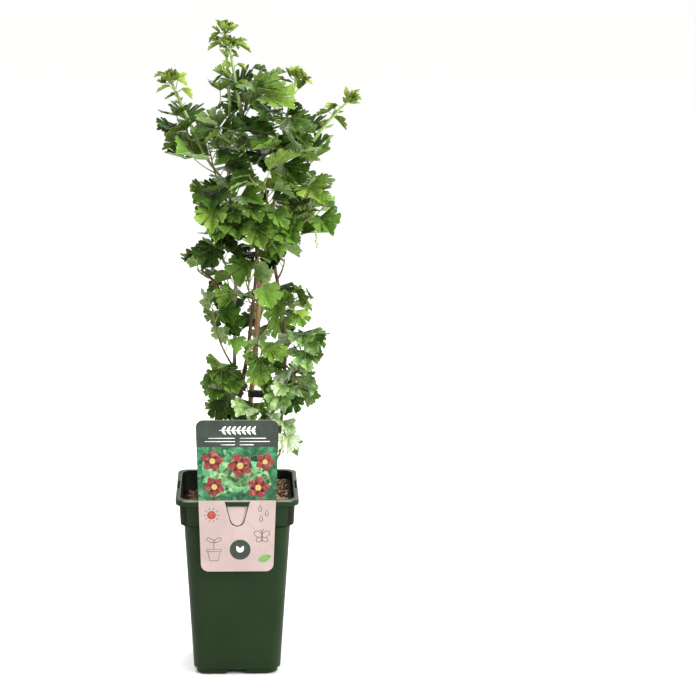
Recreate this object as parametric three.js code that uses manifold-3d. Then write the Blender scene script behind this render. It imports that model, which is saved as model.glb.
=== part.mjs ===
// A young gooseberry bush in a tall square nursery pot, with its hanging label card.
// Millimetres, +Z up. The origin is the centre of the pot's flat underside and -Y is the front.
//
// The pot is lofted from rounded squares. The stems are tapering tubes. Each mass of foliage
// is a twig with lobed leaves that a seeded rule places on it, fused into one solid.

import * as THREE from 'three';
import { mergeVertices } from 'three/addons/utils/BufferGeometryUtils.js';
import Module from 'manifold-3d';

const wasm = await Module();
wasm.setup();

// ---- driving dimensions ---------------------------------------------------------------

const potHeight = 199.5;
const flangeHalf = 65;          // half the width across the rim
const flangeHeight = 4.5;
const flangeThickness = 1.4;
const lipWall = 1.2;            // the rim's edge is turned down, with a groove inside it
const collarTopHalf = 61.5;
const collarFootHalf = 60;
const collarHeight = 26;        // from the rim's top down to the step
const stepHeight = 2.5;
const bodyTopHalf = 56.2;
const bodyFootHalf = 46.5;
const plinthHalf = 43.5;        // the narrower foot that the pot stands on
const plinthHeight = 6;
const footHalf = 41;
const cornerRadius = 12;
const wall = 1.5;
const floorThickness = 2.5;
const slotLength = 30;          // one slot in the middle of each side of the rim
const slotWidth = 2.2;
const slotOffset = 62.7;
const notchFootWidth = 24;
const notchTopWidth = 19;
const notchHeight = 5;
const notchDepth = 8;

const soilLevel = 177;
const moundRise = 1.2;
const moundMargin = 6;
const clearance = 0.3;          // the gap between pieces that touch

const cardTopWidth = 87;
const cardFootWidth = 76;
const cardTop = 287;
const cardFoot = 122;
const cardThickness = 0.6;
const cardCorner = 8;
const cardLean = 1.2;           // degrees, the top leaning forward
const tongueWidth = 25;
const tongueTip = 172;
const windowTop = 1.6;          // the cut that frees the tongue starts this far over the rim
const windowMargin = 0.8;

const tieLevel = 299;           // the band that holds the right stem to the main one
const tieWidth = 7;
const tieThickness = 0.8;
const tieSlack = 0.6;

const crownDepth = 0.95;        // the crown's depth as a share of its width
const leafThickness = 0.7;
const youngSize = 20;           // leaves shorter than this are young, with three lobes
const leafFold = 0.5;
const leafSag = 0.16;
const petioleRadius = 0.65;
const rootShare = 0.45;         // a stalk's root, sunk inside its twig, is this much finer
const twigRadius = 1.15;
const twigTaper = 0.75;
const twigSteps = 3;
const twigBend = 0.15;          // how far a twig bends out of its limb before it turns
const leafSpiral = 2.4;         // radians from one leaf to the next
const leafScatter = 1.2;
const attempts = 30;            // tries to place each leaf, each turned on and a bit smaller
const retryTurn = 0.9;
const retryShrink = 0.014;
const risingHeight = 620;       // leaves above this rise, leaves below the next one hang
const hangingHeight = 360;
const risingDroop = -0.4;
const hangingDroop = 0.6;
const leafSway = 1.2;           // radians, how far a leaf's droop, turn and roll each vary

// ---- solids ---------------------------------------------------------------------------

function toSolid(geometry) {
  const bare = new THREE.BufferGeometry();
  bare.setAttribute('position', geometry.getAttribute('position').clone());
  if (geometry.index) bare.setIndex(geometry.index.clone());
  const merged = mergeVertices(bare, 1e-4);
  const mesh = new wasm.Mesh({
    numProp: 3,
    vertProperties: new Float32Array(merged.getAttribute('position').array),
    triVerts: new Uint32Array(merged.index.array),
  });
  return new wasm.Manifold(mesh);
}

function fromSolid(solid) {
  const mesh = solid.getMesh();
  const geometry = new THREE.BufferGeometry();
  geometry.setAttribute('position', new THREE.BufferAttribute(new Float32Array(mesh.vertProperties), 3));
  geometry.setIndex(new THREE.BufferAttribute(new Uint32Array(mesh.triVerts), 1));
  geometry.computeVertexNormals();
  return geometry;
}

// A closed body through rings of points: the rings run anticlockwise seen from the last one.
function loft(rings) {
  const count = rings[0].length;
  const positions = rings.flat().flatMap((point) => [point.x, point.y, point.z]);
  const index = [];
  for (let ring = 0; ring + 1 < rings.length; ring += 1) {
    for (let i = 0; i < count; i += 1) {
      const a = ring * count + i;
      const b = ring * count + (i + 1) % count;
      index.push(a, b, b + count, a, b + count, a + count);
    }
  }
  const last = (rings.length - 1) * count;
  for (let i = 1; i + 1 < count; i += 1) {
    index.push(0, i + 1, i);
    index.push(last, last + i, last + i + 1);
  }
  const geometry = new THREE.BufferGeometry();
  geometry.setAttribute('position', new THREE.Float32BufferAttribute(positions, 3));
  geometry.setIndex(index);
  return geometry;
}

function roundedSquare(half, radius, z) {
  const cornerSteps = 3;
  const ring = [];
  for (let corner = 0; corner < 4; corner += 1) {
    const turn = corner * Math.PI / 2;
    const diagonal = turn + Math.PI / 4;
    const centreX = (half - radius) * Math.sqrt(2) * Math.cos(diagonal);
    const centreY = (half - radius) * Math.sqrt(2) * Math.sin(diagonal);
    for (let step = 0; step <= cornerSteps; step += 1) {
      const angle = turn + step / cornerSteps * Math.PI / 2;
      ring.push(new THREE.Vector3(
        centreX + radius * Math.cos(angle), centreY + radius * Math.sin(angle), z,
      ));
    }
  }
  return ring;
}

// Rounded squares given as [height, half width], with the corner's radius.
function squareLoft(profile, radius = cornerRadius) {
  return loft(profile.map(([z, half]) => roundedSquare(half, radius, z)));
}

// ---- the pot and its soil -------------------------------------------------------------

const collarFoot = potHeight - collarHeight;
const bodyTop = collarFoot - stepHeight;
const innerRadius = cornerRadius - wall;
const flangeRadius = cornerRadius + 2;

function makePot() {
  const body = toSolid(squareLoft([
    [0, footHalf],
    [2.5, plinthHalf],
    [plinthHeight, plinthHalf],
    [plinthHeight + 0.6, bodyFootHalf],
    [bodyTop, bodyTopHalf],
    [collarFoot, collarFootHalf],
    [potHeight, collarTopHalf],
  ]));
  const flange = toSolid(squareLoft([
    [potHeight - flangeHeight, flangeHalf],
    [potHeight, flangeHalf],
  ], flangeRadius));
  const groove = toSolid(squareLoft([
    [potHeight - flangeHeight - 1, flangeHalf - lipWall],
    [potHeight - flangeThickness, flangeHalf - lipWall],
  ], flangeRadius - lipWall));
  const inside = toSolid(squareLoft([
    [floorThickness, plinthHalf - wall],
    [plinthHeight + wall, plinthHalf - wall],
    [plinthHeight + wall + 0.6, bodyFootHalf - wall],
    [bodyTop + 1, bodyTopHalf - wall],
    [collarFoot + 1, collarFootHalf - wall],
    [potHeight + 1, collarTopHalf - wall],
  ], innerRadius));
  let pot = flange.subtract(groove).add(body).subtract(inside);

  const notchShape = new THREE.Shape();
  notchShape.moveTo(-notchFootWidth / 2 - 0.6, -1);
  notchShape.lineTo(notchFootWidth / 2 + 0.6, -1);
  notchShape.lineTo(notchTopWidth / 2, notchHeight);
  notchShape.lineTo(-notchTopWidth / 2, notchHeight);
  for (let side = 0; side < 4; side += 1) {
    const slot = new THREE.BoxGeometry(slotLength, slotWidth, 4);
    slot.translate(0, -slotOffset, potHeight);
    slot.rotateZ(side * Math.PI / 2);
    const notch = new THREE.ExtrudeGeometry(notchShape, { depth: notchDepth * 2, bevelEnabled: false });
    notch.rotateX(Math.PI / 2);
    notch.translate(0, -footHalf + notchDepth, 0);
    notch.rotateZ(side * Math.PI / 2);
    pot = pot.subtract(toSolid(slot)).subtract(toSolid(notch));
  }
  return fromSolid(pot);
}

// The soil fills the pot to a shallow mound, clear of the wall all round.
function makeSoil() {
  const gap = wall + clearance;
  return squareLoft([
    [floorThickness + clearance, plinthHalf - gap],
    [plinthHeight + wall + clearance, plinthHalf - gap],
    [plinthHeight + wall + 1.6, bodyFootHalf - gap],
    [bodyTop + 1.4, bodyTopHalf - gap],
    [collarFoot + 1.6, collarFootHalf - gap],
    [soilLevel - moundRise, collarFootHalf - gap],
    [soilLevel, collarFootHalf - moundMargin],
  ], innerRadius - clearance);
}

// ---- the label card -------------------------------------------------------------------

// A flat tapering card that hangs on the rim. A tongue cut from it folds back over the rim's
// edge, goes down through the slot and hangs behind the card.
function makeLabelCard() {
  const sideSlope = (cardTopWidth - cardFootWidth) / 2 / (cardTop - cardFoot);
  const outline = new THREE.Shape();
  const top = cardTop - potHeight;
  const foot = cardFoot - potHeight;
  const halfAt = (height) => cardTopWidth / 2 - sideSlope * (top - height);
  const corners = [[1, foot, 1], [1, top, -1], [-1, top, -1], [-1, foot, 1]];
  corners.forEach(([side, height, inward], i) => {
    const square = [side * halfAt(height), height];
    const onSide = [side * halfAt(height + inward * cardCorner), height + inward * cardCorner];
    const onEdge = [side * (halfAt(height) - cardCorner), height];
    const [enter, leave] = i % 2 === 0 ? [onEdge, onSide] : [onSide, onEdge];
    if (i === 0) outline.moveTo(...enter);
    else outline.lineTo(...enter);
    outline.quadraticCurveTo(...square, ...leave);
  });
  outline.closePath();

  const windowFoot = tongueTip - potHeight - windowMargin;
  const windowHalf = tongueWidth / 2 + windowMargin;
  const cut = new THREE.Path();
  cut.moveTo(-windowHalf, windowTop);
  cut.lineTo(-windowHalf, windowFoot + windowHalf);
  cut.quadraticCurveTo(-windowHalf, windowFoot, 0, windowFoot);
  cut.quadraticCurveTo(windowHalf, windowFoot, windowHalf, windowFoot + windowHalf);
  cut.lineTo(windowHalf, windowTop);
  cut.closePath();
  outline.holes.push(cut);

  const card = new THREE.ExtrudeGeometry(outline, {
    depth: cardThickness, bevelEnabled: false, curveSegments: 5,
  });
  card.rotateX(Math.PI / 2);
  card.rotateX(THREE.MathUtils.degToRad(cardLean));
  card.translate(0, -flangeHalf - clearance, potHeight);

  // the tongue's centre line in the upright plane, with its half width and half thickness:
  // out of the card's middle, back over the rim's edge, then down the slot to a round tip
  const fold = -flangeHalf - clearance - cardThickness / 2;
  const wide = tongueWidth / 2;
  const thick = cardThickness / 2;
  const centreLine = [
    [fold - 0.06, potHeight + windowTop + 1.6, wide, thick * 0.5],
    [fold + 0.1, potHeight + windowTop - 0.3, wide, thick * 0.8],
    [fold + 1, potHeight + 0.8, wide, thick],
    [-slotOffset - 0.7, potHeight + 0.75, wide, thick],
    [-slotOffset - 0.1, potHeight - 0.3, wide, thick],
    [-slotOffset, potHeight - 2, wide, thick],
    [-slotOffset - 0.3, potHeight - 8, wide, thick],
    [-slotOffset - 0.6, tongueTip + 12, wide * 0.98, thick],
    [-slotOffset - 0.8, tongueTip + 4, wide * 0.68, thick],
    [-slotOffset - 0.9, tongueTip, wide * 0.3, thick],
  ];
  const rings = centreLine.map(([y, z, halfWidth, half], i) => {
    const before = centreLine[Math.max(i - 1, 0)];
    const after = centreLine[Math.min(i + 1, centreLine.length - 1)];
    const along = new THREE.Vector2(after[0] - before[0], after[1] - before[1]).normalize();
    const outY = -along.y * half;
    const outZ = along.x * half;
    return [
      new THREE.Vector3(halfWidth, y + outY, z + outZ),
      new THREE.Vector3(halfWidth, y - outY, z - outZ),
      new THREE.Vector3(-halfWidth, y - outY, z - outZ),
      new THREE.Vector3(-halfWidth, y + outY, z + outZ),
    ];
  });
  return fromSolid(toSolid(card).add(toSolid(loft(rings))));
}

// ---- limbs ----------------------------------------------------------------------------

const up = new THREE.Vector3(0, 0, 1);

// A tapering tube along a curve. Its first ring lies square to `foot`, so that a stem is cut
// flat at the soil and a bough lies flat against the limb that carries it.
function taperedTube(curve, footRadius, tipRadius, sides, steps, foot) {
  const rings = [];
  let across = null;
  for (let step = 0; step <= steps; step += 1) {
    const centre = curve.getPoint(step / steps);
    const along = curve.getTangent(step / steps);
    if (across === null) {
      const level = Math.abs(along.z) < 0.9 ? up : new THREE.Vector3(1, 0, 0);
      across = level.clone().cross(along).cross(along).negate();
    }
    across.addScaledVector(along, -across.dot(along)).normalize();
    const beside = new THREE.Vector3().crossVectors(along, across);
    const radius = THREE.MathUtils.lerp(footRadius, tipRadius, step / steps);
    const ring = [];
    for (let side = 0; side < sides; side += 1) {
      const angle = side / sides * 2 * Math.PI;
      const point = centre.clone()
        .addScaledVector(across, radius * Math.cos(angle))
        .addScaledVector(beside, radius * Math.sin(angle));
      if (step === 0 && foot) {
        const depth = point.clone().sub(centre).dot(foot) / along.dot(foot);
        point.addScaledVector(along, -depth);
      }
      ring.push(point);
    }
    rings.push(ring);
  }
  return loft(rings);
}

// The place on a limb at a share of its run, pushed out to its surface towards a heading.
function seatOn(limb, at, heading) {
  const centre = limb.curve.getPoint(at);
  const along = limb.curve.getTangent(at);
  const out = heading.clone().addScaledVector(along, -heading.dot(along)).normalize();
  const limbRadius = THREE.MathUtils.lerp(limb.footRadius, limb.tipRadius, at);
  return { point: centre.addScaledVector(out, limbRadius + clearance), out };
}

const woods = {
  stem: new THREE.MeshStandardMaterial({ color: 0x7d6a55, roughness: 0.85, metalness: 0 }),
  bough: new THREE.MeshStandardMaterial({ color: 0x6b4a35, roughness: 0.8, metalness: 0 }),
};

const limbs = {};

// Stems come up out of the soil; boughs fork off another limb at a share of its length.
function makeLimb(name, { on, at, through, footRadius, tipRadius, steps = 12 }) {
  const points = through.map((point) => new THREE.Vector3(...point));
  let foot = up;
  if (on) {
    const seat = seatOn(limbs[on], at, points[0].clone().sub(limbs[on].curve.getPoint(at)));
    points.unshift(seat.point);
    foot = seat.out;
  } else {
    points[0].z = soilLevel + clearance;
    points.splice(1, 0, points[0].clone().add(new THREE.Vector3(0, 0, 8)));
  }
  const curve = new THREE.CatmullRomCurve3(points, false, 'centripetal');
  limbs[name] = { curve, footRadius, tipRadius };
  const sides = on ? 4 : 5;
  return taperedTube(curve, footRadius, tipRadius, sides, steps, foot);
}

const limbPlans = {
  stem_left: {
    through: [[-8, -2, 0], [-4.5, -8, 281], [-2.5, -7, 360], [-2, -3, 439], [-9, 0, 531], [-8, 0, 606]],
    footRadius: 2.1, tipRadius: 1.1, steps: 15,
  },
  stem_main: {
    through: [[4, 3, 0], [13.8, 4, 288], [23.2, 5, 397], [35, 8, 480], [47, 8, 556], [51, 6, 588]],
    footRadius: 2.7, tipRadius: 1.1, steps: 15,
  },
  stem_right: {
    through: [[26, 0, 0], [43, -3, 245], [50, -4, 317], [49.5, -4, 375], [43, -5, 418],
      [38.5, -6, 452], [49, -5, 500], [64, -4, 530], [69, -4, 556]],
    footRadius: 1.9, tipRadius: 1.1, steps: 20,
  },
  stem_back: {
    through: [[0, 20, 0], [15, 20, 288], [23, 21, 397], [18, 26, 480], [6, 28, 556], [0, 26, 596]],
    footRadius: 2.2, tipRadius: 1.1, steps: 14,
  },
  bough_centre: {
    on: 'stem_left', at: 0.31,
    through: [[9.8, -9, 339], [14.8, -9, 382], [20, -9, 440], [18, -8, 520], [5, -6, 585], [2.5, -6, 606]],
    footRadius: 1.8, tipRadius: 1, steps: 16,
  },
  bough_upper_left: {
    on: 'stem_left', at: 0.82,
    through: [[-33, -4, 554], [-45, -6, 580]],
    footRadius: 1.1, tipRadius: 0.9, steps: 6,
  },
  bough_left: {
    on: 'stem_left', at: 0.53, through: [[-22, -10, 420], [-38, -12, 436]],
    footRadius: 1.1, tipRadius: 0.9, steps: 5,
  },
  bough_right: {
    on: 'stem_right', at: 0.78, through: [[62, -12, 484], [78, -14, 494]],
    footRadius: 1.1, tipRadius: 0.9, steps: 5,
  },
  bough_right_low: {
    on: 'stem_right', at: 0.33, through: [[62, -8, 324], [76, -12, 344]],
    footRadius: 1, tipRadius: 0.8, steps: 5,
  },
  bough_front: {
    on: 'stem_main', at: 0.62, through: [[30, -22, 462], [24, -36, 486]],
    footRadius: 1.1, tipRadius: 0.9, steps: 6,
  },
  bough_back_left: {
    on: 'stem_back', at: 0.6, through: [[-4, 34, 450], [-22, 42, 474]],
    footRadius: 1.1, tipRadius: 0.9, steps: 5,
  },
  bough_back_right: {
    on: 'stem_back', at: 0.7, through: [[34, 38, 496], [50, 42, 520]],
    footRadius: 1.1, tipRadius: 0.9, steps: 5,
  },
};

// A flat band drawn round two stems: the space inside it is the outline of two round stems
// with the straight runs between them.
function bandOutline(path, from, fromRadius, to, toRadius) {
  const way = Math.atan2(to.y - from.y, to.x - from.x);
  const span = Math.hypot(to.x - from.x, to.y - from.y);
  const tangent = Math.acos((fromRadius - toRadius) / span);
  path.absarc(from.x, from.y, fromRadius, way + tangent, way - tangent + 2 * Math.PI, false);
  path.absarc(to.x, to.y, toRadius, way - tangent, way + tangent, false);
  path.closePath();
  return path;
}

function placeAtHeight(limb, height) {
  let low = 0;
  let high = 1;
  for (let halving = 0; halving < 20; halving += 1) {
    const middle = (low + high) / 2;
    if (limb.curve.getPoint(middle).z < height) low = middle;
    else high = middle;
  }
  return {
    centre: limb.curve.getPoint(low),
    radius: THREE.MathUtils.lerp(limb.footRadius, limb.tipRadius, low),
  };
}

function makeStemTie() {
  const from = placeAtHeight(limbs.stem_main, tieLevel);
  const to = placeAtHeight(limbs.stem_right, tieLevel);
  const around = (path, margin) => bandOutline(
    path, from.centre, from.radius + margin, to.centre, to.radius + margin,
  );
  const outline = around(new THREE.Shape(), tieSlack + tieThickness);
  outline.holes.push(around(new THREE.Path(), tieSlack));
  const band = new THREE.ExtrudeGeometry(outline, {
    depth: tieWidth, bevelEnabled: false, curveSegments: 8,
  });
  band.translate(0, 0, tieLevel - tieWidth / 2);
  return fromSolid(toSolid(band));
}

// ---- foliage --------------------------------------------------------------------------

// The same small generator gives the same bush each time.
function seededRandom(seed) {
  let state = seed;
  return () => {
    state = (Math.imul(state, 1664525) + 1013904223) >>> 0;
    return state / 4294967296;
  };
}

// Half of a leaf's outline from the tip to the stalk, as shares of its length along and of
// its width across: five lobes on a grown leaf, three on a young one.
const grownOutline = [
  [0.99, 0.09], [0.68, 0.18], [0.82, 0.4], [0.6, 0.52], [0.35, 0.35], [0.06, 0.46],
];
const youngOutline = [[0.96, 0.12], [0.62, 0.48], [0.1, 0.36]];

// A leaf and its stalk in one closed body. The blade is a thin folded lens, and its frame
// has x along from the stalk, y across and z out of the upper face. The stalk is a
// three-sided bar that runs from the blade's notch down to its root in the twig.
function leafBody(size, root, { joint, along, face }, thickness, stalkRadius) {
  const across = new THREE.Vector3().crossVectors(face, along);
  const place = (x, y, z) => joint.clone()
    .addScaledVector(along, x).addScaledVector(across, y).addScaledVector(face, z);
  const sag = (x) => -leafSag * x * x / size;
  const outline = size < youngSize ? youngOutline : grownOutline;
  const halfRim = (side) => outline.map(([x, y]) => place(
    x * size, side * y * size, y * size * leafFold + sag(x * size),
  ));
  const stalkWay = joint.clone().sub(root).normalize();
  const bisector = stalkWay.clone().add(along).normalize();
  const under = face.clone().negate();
  under.addScaledVector(bisector, -under.dot(bisector)).normalize();
  const stalkRing = (centre, way, below, radius) => {
    const side = new THREE.Vector3().crossVectors(way, below).normalize();
    return [
      centre.clone().addScaledVector(side, radius),
      centre.clone().addScaledVector(side, -radius),
      centre.clone().addScaledVector(below, radius * 1.5),
    ];
  };
  const jointRing = stalkRing(joint, bisector, under, stalkRadius);
  const rootUnder = under.clone().addScaledVector(stalkWay, -under.dot(stalkWay)).normalize();
  const rootRing = stalkRing(root, stalkWay, rootUnder, stalkRadius * rootShare);
  const leftFirst = jointRing[0].clone().sub(joint).dot(across) > 0 ? [0, 1] : [1, 0];
  const rim = [
    ...halfRim(1), jointRing[leftFirst[0]], jointRing[leftFirst[1]], ...halfRim(-1).reverse(),
  ];
  const middle = 0.36 * size;
  const top = place(middle, 0, sag(middle) + thickness / 2);
  const bottom = place(middle, 0, sag(middle) - thickness / 2);
  const keel = jointRing[2];
  const triangles = [];
  const notch = outline.length;
  rim.forEach((point, i) => {
    const next = rim[(i + 1) % rim.length];
    triangles.push([top, point, next]);
    if (i === notch) triangles.push([bottom, keel, point], [bottom, next, keel]);
    else triangles.push([bottom, next, point]);
  });
  const ends = [rim[notch], keel, rim[notch + 1]];
  const roots = [rootRing[leftFirst[0]], rootRing[2], rootRing[leftFirst[1]]];
  for (let i = 0; i < 3; i += 1) {
    const j = (i + 1) % 3;
    triangles.push([ends[i], ends[j], roots[j]], [ends[i], roots[j], roots[i]]);
  }
  triangles.push([roots[0], roots[1], roots[2]]);
  const geometry = new THREE.BufferGeometry();
  geometry.setFromPoints(triangles.flat());
  return toSolid(geometry);
}

// The crown's outline: height, left edge, right edge.
const crownProfile = [
  [225, -30, 72], [262, -30, 74], [282, -38, 80], [299, -44, 92], [342, -42, 94], [353, -35, 96],
  [375, -35, 96], [388, -44, 84], [412, -48, 82], [418, -52, 60], [447, -66, 54], [458, -58, 74],
  [474, -52, 108], [485, -52, 115], [540, -57, 104], [550, -72, 107], [597, -90, 104],
  [610, -36, 70], [700, -36, 140],
];

function inCrown(box) {
  const height = (box.min[2] + box.max[2]) / 2;
  const above = crownProfile.findIndex(([z]) => z > height);
  if (above < 1) return false;
  const [lowZ, lowLeft, lowRight] = crownProfile[above - 1];
  const [highZ, highLeft, highRight] = crownProfile[above];
  const share = (height - lowZ) / (highZ - lowZ);
  const left = THREE.MathUtils.lerp(lowLeft, highLeft, share);
  const right = THREE.MathUtils.lerp(lowRight, highRight, share);
  const depth = (right - left) * crownDepth / 2;
  return box.min[0] > left && box.max[0] < right && box.min[1] > -depth && box.max[1] < depth;
}

const placed = [];              // every solid so far, that later leaves keep clear of

function meets(solid, others) {
  const box = solid.boundingBox();
  return others.some((other) => {
    for (let axis = 0; axis < 3; axis += 1) {
      if (box.min[axis] > other.box.max[axis] || box.max[axis] < other.box.min[axis]) return false;
    }
    return solid.intersect(other.solid).volume() > 1e-6;
  });
}

function keep(list, solid) {
  list.push({ solid, box: solid.boundingBox() });
}

// How a leaf lies: `out` is the way its stalk leaves the twig. High leaves rise and low ones
// hang, the upper face up and outwards.
function leafPlace(root, out, size, random) {
  const stalkLength = size * (0.4 + 0.45 * random());
  const stalkWay = out.clone().addScaledVector(up, 0.15 + 0.45 * random()).normalize();
  const joint = root.clone().addScaledVector(stalkWay, stalkLength);
  const low = THREE.MathUtils.clamp((risingHeight - root.z) / (risingHeight - hangingHeight), 0, 1);
  const droop = THREE.MathUtils.lerp(risingDroop, hangingDroop, low) + (random() - 0.5) * leafSway;
  const level = new THREE.Vector3(out.x, out.y, 0).normalize();
  level.applyAxisAngle(up, (random() - 0.5) * leafSway);
  const along = level.clone().multiplyScalar(Math.cos(droop)).addScaledVector(up, -Math.sin(droop));
  const face = level.clone().multiplyScalar(Math.sin(droop)).addScaledVector(up, Math.cos(droop));
  face.applyAxisAngle(along, (random() - 0.5) * leafSway);
  return { joint, along, face };
}

// A mass's twig, from its seat on a limb's side or tip, towards its heading and rise.
function growTwig({ on, at, heading, rise, reach }) {
  const turn = THREE.MathUtils.degToRad(heading);
  const tilt = THREE.MathUtils.degToRad(rise);
  const way = new THREE.Vector3(
    Math.cos(turn) * Math.cos(tilt), Math.sin(turn) * Math.cos(tilt), Math.sin(tilt),
  );
  const limb = limbs[on];
  let foot = limb.curve.getTangent(1);
  let seat = limb.curve.getPoint(1).addScaledVector(foot, clearance);
  if (at < 1) {
    const found = seatOn(limb, at, way);
    foot = found.out;
    seat = found.point;
  }
  const bend = seat.clone().addScaledVector(way, reach / 2).addScaledVector(foot, reach * twigBend);
  const tip = seat.clone().addScaledVector(way, reach);
  const curve = new THREE.QuadraticBezierCurve3(seat, bend, tip);
  const solid = toSolid(taperedTube(curve, twigRadius, twigRadius * twigTaper, 3, twigSteps, foot));
  return { joints: curve.getPoints(twigSteps), solid, box: solid.boundingBox() };
}

// A mass of foliage: leaves spiral round the twig. A leaf that would leave the crown, or
// touch a limb, a twig or another leaf, is tried again, then left out.
function addLeaves({ seed, twig, leaves, size }, others) {
  let mass = twig.solid;
  const young = size < youngSize;
  const own = [twig];
  for (let leaf = 0; leaf < leaves; leaf += 1) {
    const turnOf = (leaf + 0.5) / leaves;
    const share = young ? 1 - 0.72 * (1 - turnOf) ** 2 : 0.2 + 0.79 * turnOf;
    const piece = Math.min(Math.floor(share * twigSteps), twigSteps - 1);
    const root = twig.joints[piece].clone().lerp(twig.joints[piece + 1], share * twigSteps - piece);
    const along = twig.joints[piece + 1].clone().sub(twig.joints[piece]).normalize();
    const side = new THREE.Vector3(along.y, -along.x, 0).normalize();
    for (let attempt = 0; attempt < attempts; attempt += 1) {
      const random = seededRandom(seed * 1000 + leaf * 50 + attempt);
      random();
      const angle = leaf * leafSpiral + (random() - 0.5) * leafScatter + attempt * retryTurn;
      const out = side.clone().applyAxisAngle(along, angle)
        .addScaledVector(along, 0.35 + share * 0.9).normalize();
      const vigour = 0.8 + 0.34 * random() - retryShrink * attempt;
      const leafSize = size * vigour * (young ? 1.2 - 0.5 * share : 1);
      const place = leafPlace(root, out, leafSize, random);
      const stalkMiddle = root.clone().lerp(place.joint, 0.5);
      const wide = leafBody(
        leafSize, root, place, leafThickness + 2 * clearance, petioleRadius + clearance,
      );
      const blade = leafBody(leafSize, stalkMiddle, place, leafThickness, petioleRadius);
      const inPlace = (young || inCrown(wide.boundingBox())) && !meets(blade, own);
      if (inPlace && !meets(wide, others)) {
        const solid = leafBody(leafSize, root, place, leafThickness, petioleRadius);
        mass = mass.add(solid);
        keep(own, solid);
        break;
      }
    }
  }
  return mass;
}

// The masses: which limb, where along it, the twig's heading and rise in degrees and its
// reach, then how many leaves it carries, their length and the seed they grow by.
const sprayRows = {
  // growing tips, pale and small-leaved
  shoot_top_left: ['stem_left', 1, -160, 86, 80, 9, 15, 3275],
  shoot_top_right: ['bough_centre', 1, -165, 80, 66, 7, 13, 3580],
  shoot_left: ['bough_upper_left', 1, -175, 66, 60, 7, 15, 7796],
  shoot_centre: ['stem_main', 1, 0, 77, 50, 7, 15, 2369],
  shoot_right: ['stem_right', 1, 0, 50, 76, 8, 15, 3139],
  // leafy spurs, from the top down
  leaves_upper_left_tip: ['bough_upper_left', 0.8, -175, 30, 22, 7, 36, 2729],
  leaves_upper_left: ['stem_left', 0.78, -135, 65, 68, 7, 38, 5414],
  leaves_top_left: ['stem_left', 0.88, -85, 45, 40, 6, 38, 1634],
  leaves_top_centre: ['bough_centre', 0.92, 40, 60, 20, 7, 38, 2375],
  leaves_top_right: ['stem_main', 0.93, -100, 60, 30, 7, 38, 2041],
  leaves_right_high: ['stem_right', 0.93, -20, 65, 28, 7, 40, 4179],
  leaves_front_top: ['stem_main', 0.84, -90, 10, 42, 7, 38, 1263],
  leaves_bright_right: ['bough_right', 0.7, -45, 70, 34, 6, 40, 2712],
  leaves_right: ['bough_right', 0.4, 0, 10, 18, 6, 38, 1221],
  leaves_mid_left: ['stem_left', 0.72, -155, 60, 52, 7, 36, 9010],
  leaves_left_shoulder: ['stem_left', 0.64, -140, 60, 62, 7, 36, 406],
  leaves_front_left: ['stem_left', 0.72, -95, 55, 74, 6, 38, 3159],
  leaves_front_high: ['bough_front', 0.9, -90, 65, 60, 6, 38, 8983],
  leaves_front_mid: ['bough_centre', 0.58, -110, 15, 40, 7, 36, 448],
  leaves_front_centre: ['stem_main', 0.68, -80, 20, 48, 7, 38, 8434],
  leaves_front_low: ['stem_main', 0.58, -90, 30, 52, 7, 34, 5850],
  leaves_waist: ['bough_centre', 0.4, -105, 40, 40, 6, 32, 7463],
  leaves_waist_right: ['stem_right', 0.58, -65, 55, 28, 5, 30, 5581],
  leaves_left_tip: ['bough_left', 0.7, 180, 35, 16, 6, 32, 4509],
  leaves_left: ['stem_left', 0.44, -155, 70, 66, 6, 30, 987],
  leaves_left_low: ['stem_left', 0.3, -145, 75, 66, 7, 28, 2650],
  leaves_left_foot: ['stem_left', 0.2, -115, 70, 98, 6, 28, 9885],
  leaves_right_waist: ['stem_right', 0.5, -50, 10, 14, 7, 28, 9420],
  leaves_right_low_tip: ['bough_right_low', 0.75, -10, 70, 20, 7, 28, 9937],
  leaves_right_low: ['stem_right', 0.36, -45, -35, 20, 8, 30, 6022],
  leaves_centre_low: ['stem_main', 0.4, -70, 5, 32, 7, 28, 7124],
  leaves_right_foot: ['stem_right', 0.17, -35, 65, 52, 6, 27, 5072],
  leaves_centre_foot: ['stem_main', 0.28, -75, 50, 50, 6, 30, 9156],
  // the far side
  leaves_back_top: ['stem_back', 0.94, 70, 55, 30, 6, 36, 9925],
  leaves_back_left_high: ['stem_back', 0.84, 160, 5, 34, 7, 38, 1527],
  leaves_back_right_high: ['bough_back_right', 0.8, 35, 60, 32, 7, 38, 7534],
  leaves_back_high: ['stem_back', 0.8, 85, 5, 30, 7, 38, 7482],
  leaves_back_left: ['bough_back_left', 0.8, 150, 45, 26, 7, 36, 3537],
  leaves_back: ['stem_back', 0.62, 105, 5, 28, 6, 34, 3428],
  leaves_back_right: ['bough_back_right', 0.4, 25, -25, 28, 6, 36, 338],
  leaves_back_low_left: ['stem_back', 0.5, 145, 15, 40, 7, 32, 7234],
  leaves_back_low_right: ['stem_back', 0.44, 35, 50, 48, 7, 32, 2970],
  leaves_back_foot_right: ['stem_right', 0.28, 65, 35, 40, 6, 30, 4896],
  leaves_back_foot_left: ['stem_back', 0.24, 135, 70, 96, 6, 30, 3576],
};

// ---- assembly -------------------------------------------------------------------------

const group = new THREE.Group();

function addPiece(name, geometry, material) {
  const mesh = new THREE.Mesh(geometry, material);
  mesh.name = name;
  group.add(mesh);
  keep(placed, toSolid(geometry));
}

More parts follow.
